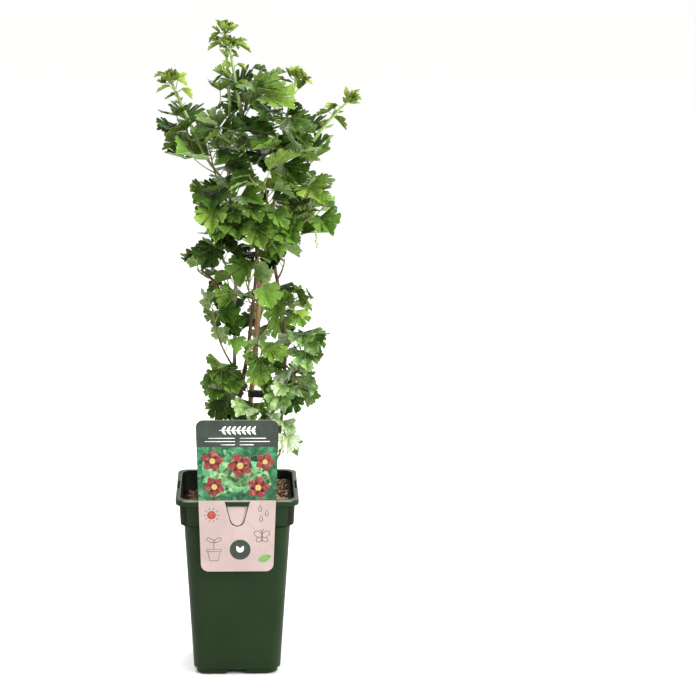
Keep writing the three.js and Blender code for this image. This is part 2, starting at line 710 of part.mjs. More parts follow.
const plastic = new THREE.MeshStandardMaterial({ color: 0x2f4a2e, roughness: 0.45, metalness: 0 });
const peat = new THREE.MeshStandardMaterial({ color: 0x3a2a20, roughness: 0.95, metalness: 0 });
const printedCard = new THREE.MeshStandardMaterial({ color: 0xe8d0d0, roughness: 0.4, metalness: 0 });
const darkBand = new THREE.MeshStandardMaterial({ color: 0x1d2a1e, roughness: 0.5, metalness: 0 });
const leafGreen = new THREE.MeshStandardMaterial({ color: 0x3f7a26, roughness: 0.55, metalness: 0 });
const shootGreen = new THREE.MeshStandardMaterial({ color: 0xa6c84a, roughness: 0.55, metalness: 0 });

addPiece('pot', makePot(), plastic);
addPiece('soil', makeSoil(), peat);
addPiece('label_card', makeLabelCard(), printedCard);

for (const [name, plan] of Object.entries(limbPlans)) {
  addPiece(name, makeLimb(name, plan), plan.on ? woods.bough : woods.stem);
}

addPiece('stem_tie', makeStemTie(), darkBand);

const sprays = Object.entries(sprayRows).map(([name, row]) => {
  const [on, at, heading, rise, reach, leaves, size, seed] = row;
  const twig = growTwig({ on, at, heading, rise, reach });
  return { name, seed, twig, leaves, size };
});
for (const spray of sprays) {
  const otherTwigs = sprays.filter((other) => other !== spray).map((other) => other.twig);
  const mass = addLeaves(spray, [...placed, ...otherTwigs]);
  addPiece(spray.name, fromSolid(mass), spray.size < youngSize ? shootGreen : leafGreen);
}

export default group;
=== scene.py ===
# A young gooseberry bush in a tall square nursery pot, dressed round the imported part.
# Sizes are in millimetres and turn to metres where a mesh is made.

import math
import random

import bmesh
import bpy
from mathutils import Matrix, Quaternion, Vector, noise
from mathutils.bvhtree import BVHTree


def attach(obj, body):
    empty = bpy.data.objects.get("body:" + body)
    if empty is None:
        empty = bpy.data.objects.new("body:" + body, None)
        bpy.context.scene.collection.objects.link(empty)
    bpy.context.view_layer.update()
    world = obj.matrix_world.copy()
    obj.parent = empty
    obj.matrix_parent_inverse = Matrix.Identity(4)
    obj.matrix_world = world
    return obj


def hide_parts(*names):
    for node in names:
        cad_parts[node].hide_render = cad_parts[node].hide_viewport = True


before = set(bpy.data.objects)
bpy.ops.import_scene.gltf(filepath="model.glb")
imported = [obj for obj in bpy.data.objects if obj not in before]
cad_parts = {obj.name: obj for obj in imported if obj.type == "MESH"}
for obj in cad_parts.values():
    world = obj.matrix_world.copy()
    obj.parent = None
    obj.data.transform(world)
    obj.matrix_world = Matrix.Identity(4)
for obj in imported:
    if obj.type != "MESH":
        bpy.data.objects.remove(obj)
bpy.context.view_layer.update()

mm = 0.001
up = Vector((0, 0, 1))
fullTurn = 6.28  # as the part's own rule has it


def colour(hexCode):  # an sRGB hex value as linear light
    shares = [int(hexCode[i:i + 2], 16) / 255 for i in (1, 3, 5)]
    return [s / 12.92 if s <= 0.04045 else ((s + 0.055) / 1.055) ** 2.4 for s in shares] + [1]


def setInputs(tree, node, inputs):
    # links the sockets among the values and sets the rest; a node stands for its first live output
    for name, value in inputs.items():
        if isinstance(value, bpy.types.Node):
            value = next(output for output in value.outputs if output.enabled)
        if isinstance(value, bpy.types.NodeSocket):
            tree.links.new(value, node.inputs[name])
        else:
            node.inputs[name].default_value = value


def addNode(tree, kind, inputs=None, stops=(), **settings):
    node = tree.nodes.new(kind)
    for name, value in settings.items():
        setattr(node, name, value)
    setInputs(tree, node, inputs or {})
    if stops:  # a colour ramp's places and hex colours
        while len(node.color_ramp.elements) < len(stops):
            node.color_ramp.elements.new(0.5)
        for element, (place, hexCode) in zip(node.color_ramp.elements, stops):
            element.position = place
            element.color = colour(hexCode)
    return node


def startMaterial(name):  # the material, its tree, its shader and the object's own coordinates
    material = bpy.data.materials.new(name)
    material.use_nodes = True
    tree = material.node_tree
    place = addNode(tree, "ShaderNodeTexCoord").outputs["Object"]
    return material, tree, tree.nodes["Principled BSDF"], place


def perMm(size):  # the texture scale that repeats every so many millimetres
    return 1 / (size * mm)


def cloudedMaterial(name, texture, stops, finish, relief=None):
    # a stuff whose colour wanders between a few tones, and whose surface may rise with them:
    # relief is the bump's strength and its depth in millimetres
    material, tree, shader, place = startMaterial(name)
    cloud = addNode(tree, "ShaderNodeTexNoise", {"Vector": place, **texture})
    tint = addNode(tree, "ShaderNodeValToRGB", {"Fac": cloud}, stops)
    setInputs(tree, shader, {"Base Color": tint, **finish})
    if relief:
        bump = addNode(tree, "ShaderNodeBump",
                       {"Height": cloud, "Strength": relief[0], "Distance": relief[1] * mm})
        setInputs(tree, shader, {"Normal": bump})
    return material


def addPiece(name, mesh, materials, nodes=(), smoothAngle=None):
    for material in materials:
        mesh.materials.append(material)
    if smoothAngle is not None:
        mesh.shade_smooth()
        mesh.set_sharp_from_angle(angle=math.radians(smoothAngle))
    piece = bpy.data.objects.new(name, mesh)
    bpy.context.scene.collection.objects.link(piece)
    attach(piece, "root")
    if nodes:
        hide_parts(*nodes)
    return piece


def meshFrom(bm, name, size=mm):  # a finished bmesh, turned from millimetres to metres
    bmesh.ops.scale(bm, vec=(size, size, size), verts=bm.verts)
    mesh = bpy.data.meshes.new(name)
    bm.to_mesh(mesh)
    bm.free()
    return mesh


def tubeMesh(name, lines, detail):  # round bars along lines of (point, radius), in millimetres
    curve = bpy.data.curves.new(name, "CURVE")
    curve.dimensions = "3D"
    curve.bevel_depth = mm
    curve.bevel_resolution = detail
    curve.use_fill_caps = True
    for line in lines:
        spline = curve.splines.new("POLY")
        spline.points.add(len(line) - 1)
        for point, (place, radius) in zip(spline.points, line):
            point.co = (*(place * mm), 1)
            point.radius = radius
    holder = bpy.data.objects.new(name, curve)
    mesh = bpy.data.meshes.new_from_object(holder)
    bpy.data.objects.remove(holder)
    bpy.data.curves.remove(curve)
    bm = bmesh.new()
    bm.from_mesh(mesh)
    bmesh.ops.remove_doubles(bm, verts=bm.verts, dist=1e-7)
    bmesh.ops.recalc_face_normals(bm, faces=bm.faces)
    bm.to_mesh(mesh)
    bm.free()
    return mesh


def pointsOf(geometry):
    return [part for part in geometry if isinstance(part, bmesh.types.BMVert)]


def extrudeRing(bm, edges):
    grown = bmesh.ops.extrude_edge_only(bm, edges=edges)["geom"]
    points = pointsOf(grown)
    ring = [part for part in grown
            if isinstance(part, bmesh.types.BMEdge) and set(points).issuperset(part.verts)]
    return points, ring


def thicken(bm, thickness):
    bmesh.ops.recalc_face_normals(bm, faces=bm.faces)
    bmesh.ops.solidify(bm, geom=bm.faces[:] + bm.edges[:] + bm.verts[:], thickness=thickness)
    bmesh.ops.recalc_face_normals(bm, faces=bm.faces)


def lerp(a, b, share):
    return a + (b - a) * share


# camera, light and floor
view = {
    "cameraAt": (0, -2254, 813),
    "pitch": 11.618,      # degrees down
    "turn": 2.934,        # degrees that the view is turned to the right of the bush
    "lens": 111.75,
    "farthest": 500,      # how far the camera sees, in metres
    "floorSize": 240000,
    "skyLow": 0.1,        # light from the horizon and from overhead
    "skyHigh": 1.5,
    "lampsLookAt": (0, 0, 0.4),
    "lamps": {            # place in metres, size in metres, power in watts
        "keyLamp": ((1.9, -1.2, 1.15), 0.8, 55),
        "topLamp": ((-0.5, -0.6, 2.4), 1.2, 26),
        "backLamp": ((0.5, 1.8, 1.5), 1.2, 20),
    },
}


def floorPaint():  # matt studio paper: pale, even, no gloss
    return cloudedMaterial("mattStudioPaper", {"Scale": perMm(40), "Detail": 2.0},
                           [(0.3, "#f9f9f8"), (0.7, "#fcfcfb")],
                           {"Roughness": 0.9, "Specular IOR Level": 0.0})


def setStage():
    scene = bpy.context.scene
    lens = bpy.data.cameras.new("camera")
    lens.lens = view["lens"]
    lens.clip_end = view["farthest"]
    camera = bpy.data.objects.new("camera", lens)
    tilt = Matrix.Rotation(math.radians(90 - view["pitch"]), 4, "X")
    turn = Matrix.Rotation(math.radians(-view["turn"]), 4, "Y")
    camera.matrix_world = Matrix.Translation(Vector(view["cameraAt"]) * mm) @ tilt @ turn
    scene.collection.objects.link(camera)
    scene.camera = camera

    bm = bmesh.new()
    bmesh.ops.create_grid(bm, x_segments=8, y_segments=8, size=view["floorSize"] / 2)
    floorMesh = meshFrom(bm, "floor")
    floorMesh.materials.append(floorPaint())
    floor = bpy.data.objects.new("floor", floorMesh)
    scene.collection.objects.link(floor)

    for name, (at, size, power) in view["lamps"].items():
        lamp = bpy.data.lights.new(name, "AREA")
        lamp.size = size
        lamp.energy = power
        holder = bpy.data.objects.new(name, lamp)
        way = Vector(view["lampsLookAt"]) - Vector(at)
        aim = way.to_track_quat("-Z", "Y").to_matrix().to_4x4()
        holder.matrix_world = Matrix.Translation(at) @ aim
        scene.collection.objects.link(holder)

    world = bpy.data.worlds.new("studio")
    world.use_nodes = True
    tree = world.node_tree
    way = addNode(tree, "ShaderNodeTexCoord").outputs["Generated"]
    height = addNode(tree, "ShaderNodeSeparateXYZ", {"Vector": way}).outputs["Z"]
    soft = addNode(tree, "ShaderNodeMapRange", {
        "Value": height, "To Min": view["skyLow"], "To Max": view["skyHigh"]})
    backdrop = addNode(tree, "ShaderNodeLightPath").outputs["Is Camera Ray"]
    strength = addNode(tree, "ShaderNodeMath", {0: soft, 1: backdrop}, operation="MAXIMUM")
    setInputs(tree, tree.nodes["Background"],
              {"Color": (1, 1, 1, 1), "Strength": strength})
    scene.world = world
    scene.view_settings.view_transform = "Standard"


setStage()
print("stage: camera, lamps and floor")


# the nursery pot; a half width runs from its middle to one side
pot = {
    "height": 199.5,
    "flangeHalf": 65,
    "flangeThickness": 1.4,
    "lipHeight": 6.6,
    "lipWall": 1.2,
    "collarTopHalf": 61.5,
    "collarFootHalf": 60,
    "collarHeight": 29.4,
    "stepHeight": 2.5,
    "bodyTopHalf": 56.2,
    "bodyFootHalf": 46.5,
    "plinthHalf": 43.5,
    "plinthHeight": 6,
    "footHalf": 41,
    "cornerRadius": 12,
    "cornerSegments": 8,
    "wall": 1.5,
    "footWidth": 2.6,             # the ring that it stands on, and how far its floor is raised
    "floorUnder": 5.2,
    "footDraft": 0.3,             # how much the foot's hollow narrows upwards
    "edgeRound": 0.5,
    "slot": (30, 2.2, 62.7),      # length, width, distance from the middle
    "notch": (24, 19, 5, 8),      # width at the foot and at the top, height, depth
    "ribsAt": (-15.6, -11, -4, 3, 10, 15.6),  # places along a slot
    "rib": (1.2, 2.7, 4.4),       # size along, across and down
    "ribFromTop": 3.7,            # its middle, under the rim, and the same of the web below the slot
    "webThickness": 0.8,
    "webFromTop": 4.0,
    "ribAway": 62.55,
    "stainAndShadeFrom": 160,             # the inner wall is darkened from here up to just under the rim: compost stain and painted shade
    "stainAndShadeTo": 199,
    "stainAndShadeWithin": 60.1,
}


def roundedRing(bm, half, radius, z, segments):
    bmesh.ops.create_grid(bm, x_segments=1, y_segments=1, size=half)
    bmesh.ops.bevel(bm, geom=bm.verts[:], affect="VERTICES", offset=radius, segments=segments,
                    profile=0.5, material=-1)
    bmesh.ops.translate(bm, vec=(0, 0, z), verts=bm.verts)


def squareProfile(bm, edges, rows):
    # carries a rounded square through rows of height and half width, and keeps its corners
    half = max(v.co.x for e in edges for v in e.verts)
    rings = []
    for z, nextHalf in rows:
        points, edges = extrudeRing(bm, edges)
        for point in points:
            point.co.x += math.copysign(1, point.co.x) * (nextHalf - half)
            point.co.y += math.copysign(1, point.co.y) * (nextHalf - half)
            point.co.z = z
        half = nextHalf
        rings.append(edges)
    return rings


def cutAway(mesh, cutters):
    holder = bpy.data.objects.new("cutting", mesh)
    bpy.context.scene.collection.objects.link(holder)
    tools = []
    for cutter in cutters:
        tool = bpy.data.objects.new("cutter", cutter)
        bpy.context.scene.collection.objects.link(tool)
        cut = holder.modifiers.new("cut", "BOOLEAN")
        cut.object = tool
        cut.operation = "DIFFERENCE"
        cut.solver = "EXACT"
        tools.append(tool)
    graph = bpy.context.evaluated_depsgraph_get()
    result = bpy.data.meshes.new_from_object(holder.evaluated_get(graph))
    for spare in [holder, *tools]:
        bpy.data.objects.remove(spare)
    return result


def stainAndShadePlastic():  # the same plastic inside, dark and matt: damp compost stain and the painted shade of the pot's hollow
    return cloudedMaterial("compostStainAndPaintedShadePlastic", {"Scale": perMm(6), "Detail": 5.0},
                           [(0.35, "#0c1109"), (0.7, "#16200f")],
                           {"Roughness": 0.6, "Specular IOR Level": 0.1})


def potPlastic():  # moulded polypropylene: deep green, satin, faintly mottled, paler along its rim's top and outer edges: rubbed wear and a painted highlight
    material, tree, shader, place = startMaterial("mouldedPolypropylene")
    cloud = addNode(tree, "ShaderNodeTexNoise", {"Vector": place, "Scale": perMm(45), "Detail": 4.0})
    tint = addNode(tree, "ShaderNodeValToRGB", {"Fac": cloud},
                   [(0.3, "#182911"), (0.7, "#1c2f15")])
    rub = addNode(tree, "ShaderNodeTexNoise",
                  {"Vector": place, "Scale": perMm(9), "Detail": 6.0, "Roughness": 0.7})
    height = addNode(tree, "ShaderNodeSeparateXYZ", {"Vector": place})
    nearRim = addNode(tree, "ShaderNodeMapRange", {
        "Value": height.outputs["Z"], "From Min": (pot["height"] - 2.3) * mm,
        "From Max": (pot["height"] - 0.3) * mm, "To Min": 0.0, "To Max": 0.4})
    across = addNode(tree, "ShaderNodeMath", {0: height.outputs["X"]}, operation="ABSOLUTE")
    along = addNode(tree, "ShaderNodeMath", {0: height.outputs["Y"]}, operation="ABSOLUTE")
    away = addNode(tree, "ShaderNodeMath", {0: across, 1: along},
                   operation="MAXIMUM")
    edge = addNode(tree, "ShaderNodeMapRange", {
        "Value": away, "From Min": (pot["flangeHalf"] - 1.2) * mm,
        "From Max": (pot["flangeHalf"] - 0.4) * mm, "To Min": 0.6, "To Max": 4.0})
    edgeWearAndHighlight = addNode(tree, "ShaderNodeMath", {0: edge, 1: rub},
                     operation="MULTIPLY")
    wearAndHighlight = addNode(tree, "ShaderNodeMath", {0: nearRim, 1: edgeWearAndHighlight},
                   operation="MULTIPLY", use_clamp=True)
    # the pale rim colour is partly wear and partly a painted highlight of the rounded, glossy rim edges
    wornAndHighlit = addNode(tree, "ShaderNodeMix",
                   {0: wearAndHighlight, 6: tint, 7: colour("#84917a")},
                   data_type="RGBA")
    sheen = addNode(tree, "ShaderNodeMapRange",
                    {"Value": rub, "To Min": 0.36, "To Max": 0.5})
    grain = addNode(tree, "ShaderNodeTexNoise", {"Vector": place, "Scale": perMm(1.2), "Detail": 3.0})
    relief = addNode(tree, "ShaderNodeBump",
                     {"Height": grain, "Strength": 0.12, "Distance": 0.4 * mm})
    setInputs(tree, shader, {
        "Base Color": wornAndHighlit, "Roughness": sheen,
        "Normal": relief, "IOR": 1.49, "Specular IOR Level": 0.12})
    return material


def addBlock(bm, size, at, side):  # a block on the pot's front, carried round to one of its sides
    made = bmesh.ops.create_cube(bm, size=1)["verts"]
    bmesh.ops.scale(bm, vec=size, verts=made)
    bmesh.ops.translate(bm, vec=at, verts=made)
    bmesh.ops.rotate(bm, matrix=Matrix.Rotation(side * math.pi / 2, 3, "Z"), verts=made)


def makePot():
    top = pot["height"]
    collarFoot = top - pot["collarHeight"]
    bodyTop = collarFoot - pot["stepHeight"]
    wall = pot["wall"]
    under = top - pot["flangeThickness"]
    collarUnder = lerp(pot["collarTopHalf"], pot["collarFootHalf"], 0.1)
    bm = bmesh.new()
    roundedRing(bm, pot["footHalf"], pot["cornerRadius"], 0, pot["cornerSegments"])
    underside = bm.faces[:]
    bmesh.ops.reverse_faces(bm, faces=underside)
    bmesh.ops.inset_individual(bm, faces=underside, thickness=pot["footWidth"], depth=0)
    bmesh.ops.inset_individual(bm, faces=underside, thickness=pot["footDraft"],
                               depth=-pot["floorUnder"])
    outline = [edge for edge in bm.edges if edge.is_boundary]
    rows = [
        (1.4, pot["plinthHalf"]),
        (pot["plinthHeight"], pot["plinthHalf"]),
        (pot["plinthHeight"] + 1.2, pot["bodyFootHalf"]),
        (bodyTop, pot["bodyTopHalf"]),
        (collarFoot, pot["collarFootHalf"]),
        (under, collarUnder),
        (under, pot["flangeHalf"] - pot["lipWall"]),
        (top - pot["lipHeight"], pot["flangeHalf"] - pot["lipWall"]),
        (top - pot["lipHeight"], pot["flangeHalf"]),
        (top, pot["flangeHalf"]),
        (top, pot["collarTopHalf"] - wall),
        (collarFoot + 1, pot["collarFootHalf"] - wall),
        (bodyTop + 1, pot["bodyTopHalf"] - wall),
        (pot["plinthHeight"] + wall + 1.2, pot["bodyFootHalf"] - wall),
        (pot["plinthHeight"] + wall, pot["plinthHalf"] - wall),
    ]
    rings = squareProfile(bm, outline, rows)
    bmesh.ops.contextual_create(bm, geom=rings[-1])
    bmesh.ops.recalc_face_normals(bm, faces=bm.faces)
    soft = [edge for i in (2, 3, 4, 8, 9, 10, 11, 12) for edge in rings[i]]
    bmesh.ops.bevel(bm, geom=soft, affect="EDGES", offset=pot["edgeRound"], segments=2,
                    profile=0.5, material=-1)
    body = meshFrom(bm, "potBody")

    cutters = []
    slotLength, slotWidth, slotAway = pot["slot"]
    notchFoot, notchTop, notchHeight, notchDepth = pot["notch"]
    for side in range(4):
        bm = bmesh.new()
        addBlock(bm, (slotLength, slotWidth, 4), (0, -slotAway, top), side)
        cutters.append(meshFrom(bm, "slotCutter"))
        bm = bmesh.new()
        bmesh.ops.create_cube(bm, size=2)
        for corner in bm.verts:
            half = notchTop if corner.co.z > 0 else notchFoot
            corner.co.x *= half / 2
            corner.co.y = -pot["footHalf"] + corner.co.y * notchDepth
            corner.co.z = notchHeight if corner.co.z > 0 else -1
        bmesh.ops.rotate(bm, matrix=Matrix.Rotation(side * math.pi / 2, 3, "Z"), verts=bm.verts)
        cutters.append(meshFrom(bm, "notchCutter"))
    bm = bmesh.new()
    bm.from_mesh(cutAway(body, cutters))
    web = (slotLength + 2, pot["rib"][1], pot["webThickness"])
    for side in (1, 2, 3):  # stiffening ribs in the open slots, and the web that closes each below
        for along in pot["ribsAt"]:
            addBlock(bm, Vector(pot["rib"]) * mm,
                     Vector((along, -pot["ribAway"], top - pot["ribFromTop"])) * mm, side)
        addBlock(bm, Vector(web) * mm,
                 Vector((0, -pot["ribAway"], top - pot["webFromTop"])) * mm, side)
    # faces on the inner wall take the dark inside plastic: compost stain and painted shade
    for face in bm.faces:
        middle = face.calc_center_median() / mm
        inside = max(abs(middle.x), abs(middle.y)) < pot["stainAndShadeWithin"]
        if inside and pot["stainAndShadeFrom"] < middle.z < pot["stainAndShadeTo"]:
            face.material_index = 1
    addPiece("nursery_pot", meshFrom(bm, "nurseryPot", 1), [potPlastic(), stainAndShadePlastic()],
             ["pot"], 32)


makePot()
print("pot: moulded body, rim, slots and drain notches")


# the soil in the pot, and the loose bits that lie on it
soil = {
    "level": 178.2,
    "halfWidth": 58,
    "steps": 64,
    "lumpHeight": 2.4,
    "drift": 15,               # how much higher the straw lies to the right
    "driftFrom": 12,
    "skirt": [(173, 1.0), (171, 0.935), (9, 0.77), (7.8, 0.715)],  # height and share of the width
    "chips": 1800,
    "chipGap": 5,              # how far the chips stay from the wall
    "seed": 41,
    "kinds": [  # share of the chips, drift to the right, length, width, thickness, dark and light
        ("bark_chips", 0.34, 0, (3, 8), (1.5, 4), (0.8, 2), "#2c1b12", "#83573d"),
        ("peat_crumbs", 0.26, 0, (1.5, 3.5), (1.2, 3), (1, 2.4), "#1a110d", "#483326"),
        ("straw_bits", 0.29, 0.75, (4.5, 11), (1.1, 2.3), (0.5, 1.0), "#a17c49", "#ecd2a2"),
        ("pale_flecks", 0.11, 0.1, (1.4, 3), (1.2, 2.4), (0.8, 1.8), "#c4b7a6", "#f0e9dc"),
    ],
}


def soilHeight(x, y):
    lump = noise.noise(Vector((x, y, 0)) / 14) + 0.5 * noise.noise(Vector((x, y, 9)) / 4)
    bank = max(abs(x), abs(y)) / soil["halfWidth"]
    drift = soil["drift"] * max(x - soil["driftFrom"], 0) / (soil["halfWidth"] - soil["driftFrom"])
    return soil["level"] + drift + soil["lumpHeight"] * (0.6 * lump - 0.7 * bank ** 6)


def pottingSoil():  # moist peat compost: nearly black, matt, crumbly at every size down to 1 mm
    return cloudedMaterial("moistPeatCompost", {"Scale": perMm(4), "Detail": 8.0, "Roughness": 0.75},
                           [(0.32, "#130c08"), (0.55, "#2a1c14"), (0.75, "#4a3525")],
                           {"Roughness": 0.92, "Specular IOR Level": 0.2}, relief=(0.9, 2))


def chipWood(name, dark, light):  # torn plant fibre: matt, streaked along its grain
    return cloudedMaterial(name, {"Scale": perMm(1.6), "Detail": 5.0, "Distortion": 0.6},
                           [(0.3, dark), (0.7, light)], {"Roughness": 0.85}, relief=(0.5, 0.6))


def makeSoil():
    corner = pot["cornerRadius"]
    bm = bmesh.new()
    bmesh.ops.create_grid(bm, x_segments=soil["steps"], y_segments=soil["steps"],
                          size=soil["halfWidth"])
    inner = soil["halfWidth"] - corner
    for point in bm.verts:
        away = Vector((max(abs(point.co.x) - inner, 0), max(abs(point.co.y) - inner, 0)))
        if away.length > corner:  # the pot's corners are round
            away *= corner / away.length
            point.co.x = math.copysign(inner + away.x, point.co.x)
            point.co.y = math.copysign(inner + away.y, point.co.y)
        point.co.z = soilHeight(point.co.x, point.co.y)
    edge = [e for e in bm.edges if e.is_boundary]
    for z, share in soil["skirt"]:
        points, edge = extrudeRing(bm, edge)
        reach = max(point.co.x for point in points) / soil["halfWidth"]
        bmesh.ops.scale(bm, vec=(share / reach, share / reach, 1), verts=points)
        for point in points:
            point.co.z = z
    bmesh.ops.contextual_create(bm, geom=edge)
    bmesh.ops.recalc_face_normals(bm, faces=bm.faces)
    addPiece("potting_soil", meshFrom(bm, "pottingSoil"), [pottingSoil()], ["soil"], 60)


def makeChips():
    dice = random.Random(soil["seed"])
    reach = soil["halfWidth"] - soil["chipGap"]
    for name, share, drift, *spans, dark, light in soil["kinds"]:
        bm = bmesh.new()
        for _ in range(round(soil["chips"] * share)):
            chip = bmesh.ops.create_cube(bm, size=1)["verts"]
            size = [dice.uniform(*span) for span in spans]
            for point in chip:  # no two corners alike
                point.co = Vector(c * s * dice.uniform(0.6, 1.1) for c, s in zip(point.co, size))
            spin = Quaternion((0, 0, 1), dice.uniform(0, 6.3)) @ Quaternion(
                (1, 0, 0), dice.gauss(0, 0.5)) @ Quaternion((0, 1, 0), dice.gauss(0, 0.35))
            x, y = dice.uniform(-reach, reach), dice.uniform(-reach, reach)
            x = lerp(x, reach * abs(x / reach) ** 0.5, drift)
            lift = Vector((x, y, soilHeight(x, y) + 0.35 * size[2]))
            bmesh.ops.transform(
                bm, matrix=Matrix.Translation(lift) @ spin.to_matrix().to_4x4(), verts=chip)
        addPiece(name, meshFrom(bm, name), [chipWood(name + "Fibre", dark, light)])


makeSoil()
makeChips()
print("soil: compost with bark, straw and pale flecks")


# how the bush grows: the same limbs, twigs and leaf places as the part's solids
growth = {
    "soilLevel": 177,
    "clearance": 0.3,
    "twigRadius": 1.15,
    "shootRadii": (1.9, 1.25),
    "fillerRadii": (1.0, 0.6),
    "stalkRadius": 0.5,
    "twigSteps": 3,
    "twigBend": 0.15,
    "leafSpiral": 2.4,         # radians from one leaf round to the next
    "leafScatter": 1.2,
    "attempts": 30,            # tries for a place, each turned further and a little smaller
    "retryTurn": 0.9,
    "retryShrink": 0.014,
    "risingHeight": 620,       # leaves lift above this height and hang under the next
    "hangingHeight": 360,
    "risingDroop": -0.4,
    "hangingDroop": 0.6,
    "leafSway": 1.2,
    "youngSize": 20,           # shorter leaves are young ones
    "leafFold": 0.5,
    "leafSag": 0.16,
    "crownDepth": 0.95,        # share of its width
    "crownPast": 4,            # how far a blade on a fuller spur may pass the crown's edge
    "bladeSeed": 77,
}

# bark, radius at the foot and at the tip, places that it runs through, and what carries it and where
limbPlans = {
    "stem_left": ("greyBark", (2.1, 1.1), [
        (-8, -2, 0), (-4.5, -8, 281), (-2.5, -7, 360), (-2, -3, 439), (-9, 0, 531), (-8, 0, 606)]),
    "stem_main": ("tanBark", (2.7, 1.1), [
        (4, 3, 0), (13.8, 4, 288), (23.2, 5, 397), (35, 8, 480), (47, 8, 556), (51, 6, 588)]),
    "stem_right": ("redBark", (1.9, 1.1), [
        (26, 0, 0), (43, -3, 245), (50, -4, 317), (49.5, -4, 375), (43, -5, 418), (38.5, -6, 452),
        (49, -5, 500), (64, -4, 530), (69, -4, 556)]),
    "stem_back": ("greyBark", (2.2, 1.1), [
        (0, 20, 0), (15, 20, 288), (23, 21, 397), (18, 26, 480), (6, 28, 556), (0, 26, 596)]),
    "bough_centre": ("redBark", (1.8, 1), [
        (9.8, -9, 339), (14.8, -9, 382), (20, -9, 440), (18, -8, 520), (5, -6, 585),
        (2.5, -6, 606)], "stem_left", 0.31),
    "bough_upper_left": ("redBark", (1.1, 0.9), [(-33, -4, 554), (-45, -6, 580)], "stem_left", 0.82),
    "bough_left": ("redBark", (1.1, 0.9), [(-22, -10, 420), (-38, -12, 436)], "stem_left", 0.53),
    "bough_right": ("redBark", (1.1, 0.9), [(62, -12, 484), (78, -14, 494)], "stem_right", 0.78),
    "bough_right_low": ("redBark", (1, 0.8), [(62, -8, 324), (76, -12, 344)], "stem_right", 0.33),
    "bough_front": ("tanBark", (1.1, 0.9), [(30, -22, 462), (24, -36, 486)], "stem_main", 0.62),
    "bough_back_left": ("redBark", (1.1, 0.9), [(-4, 34, 450), (-22, 42, 474)], "stem_back", 0.6),
    "bough_back_right": ("redBark", (1.1, 0.9), [(34, 38, 496), (50, 42, 520)], "stem_back", 0.7),
}

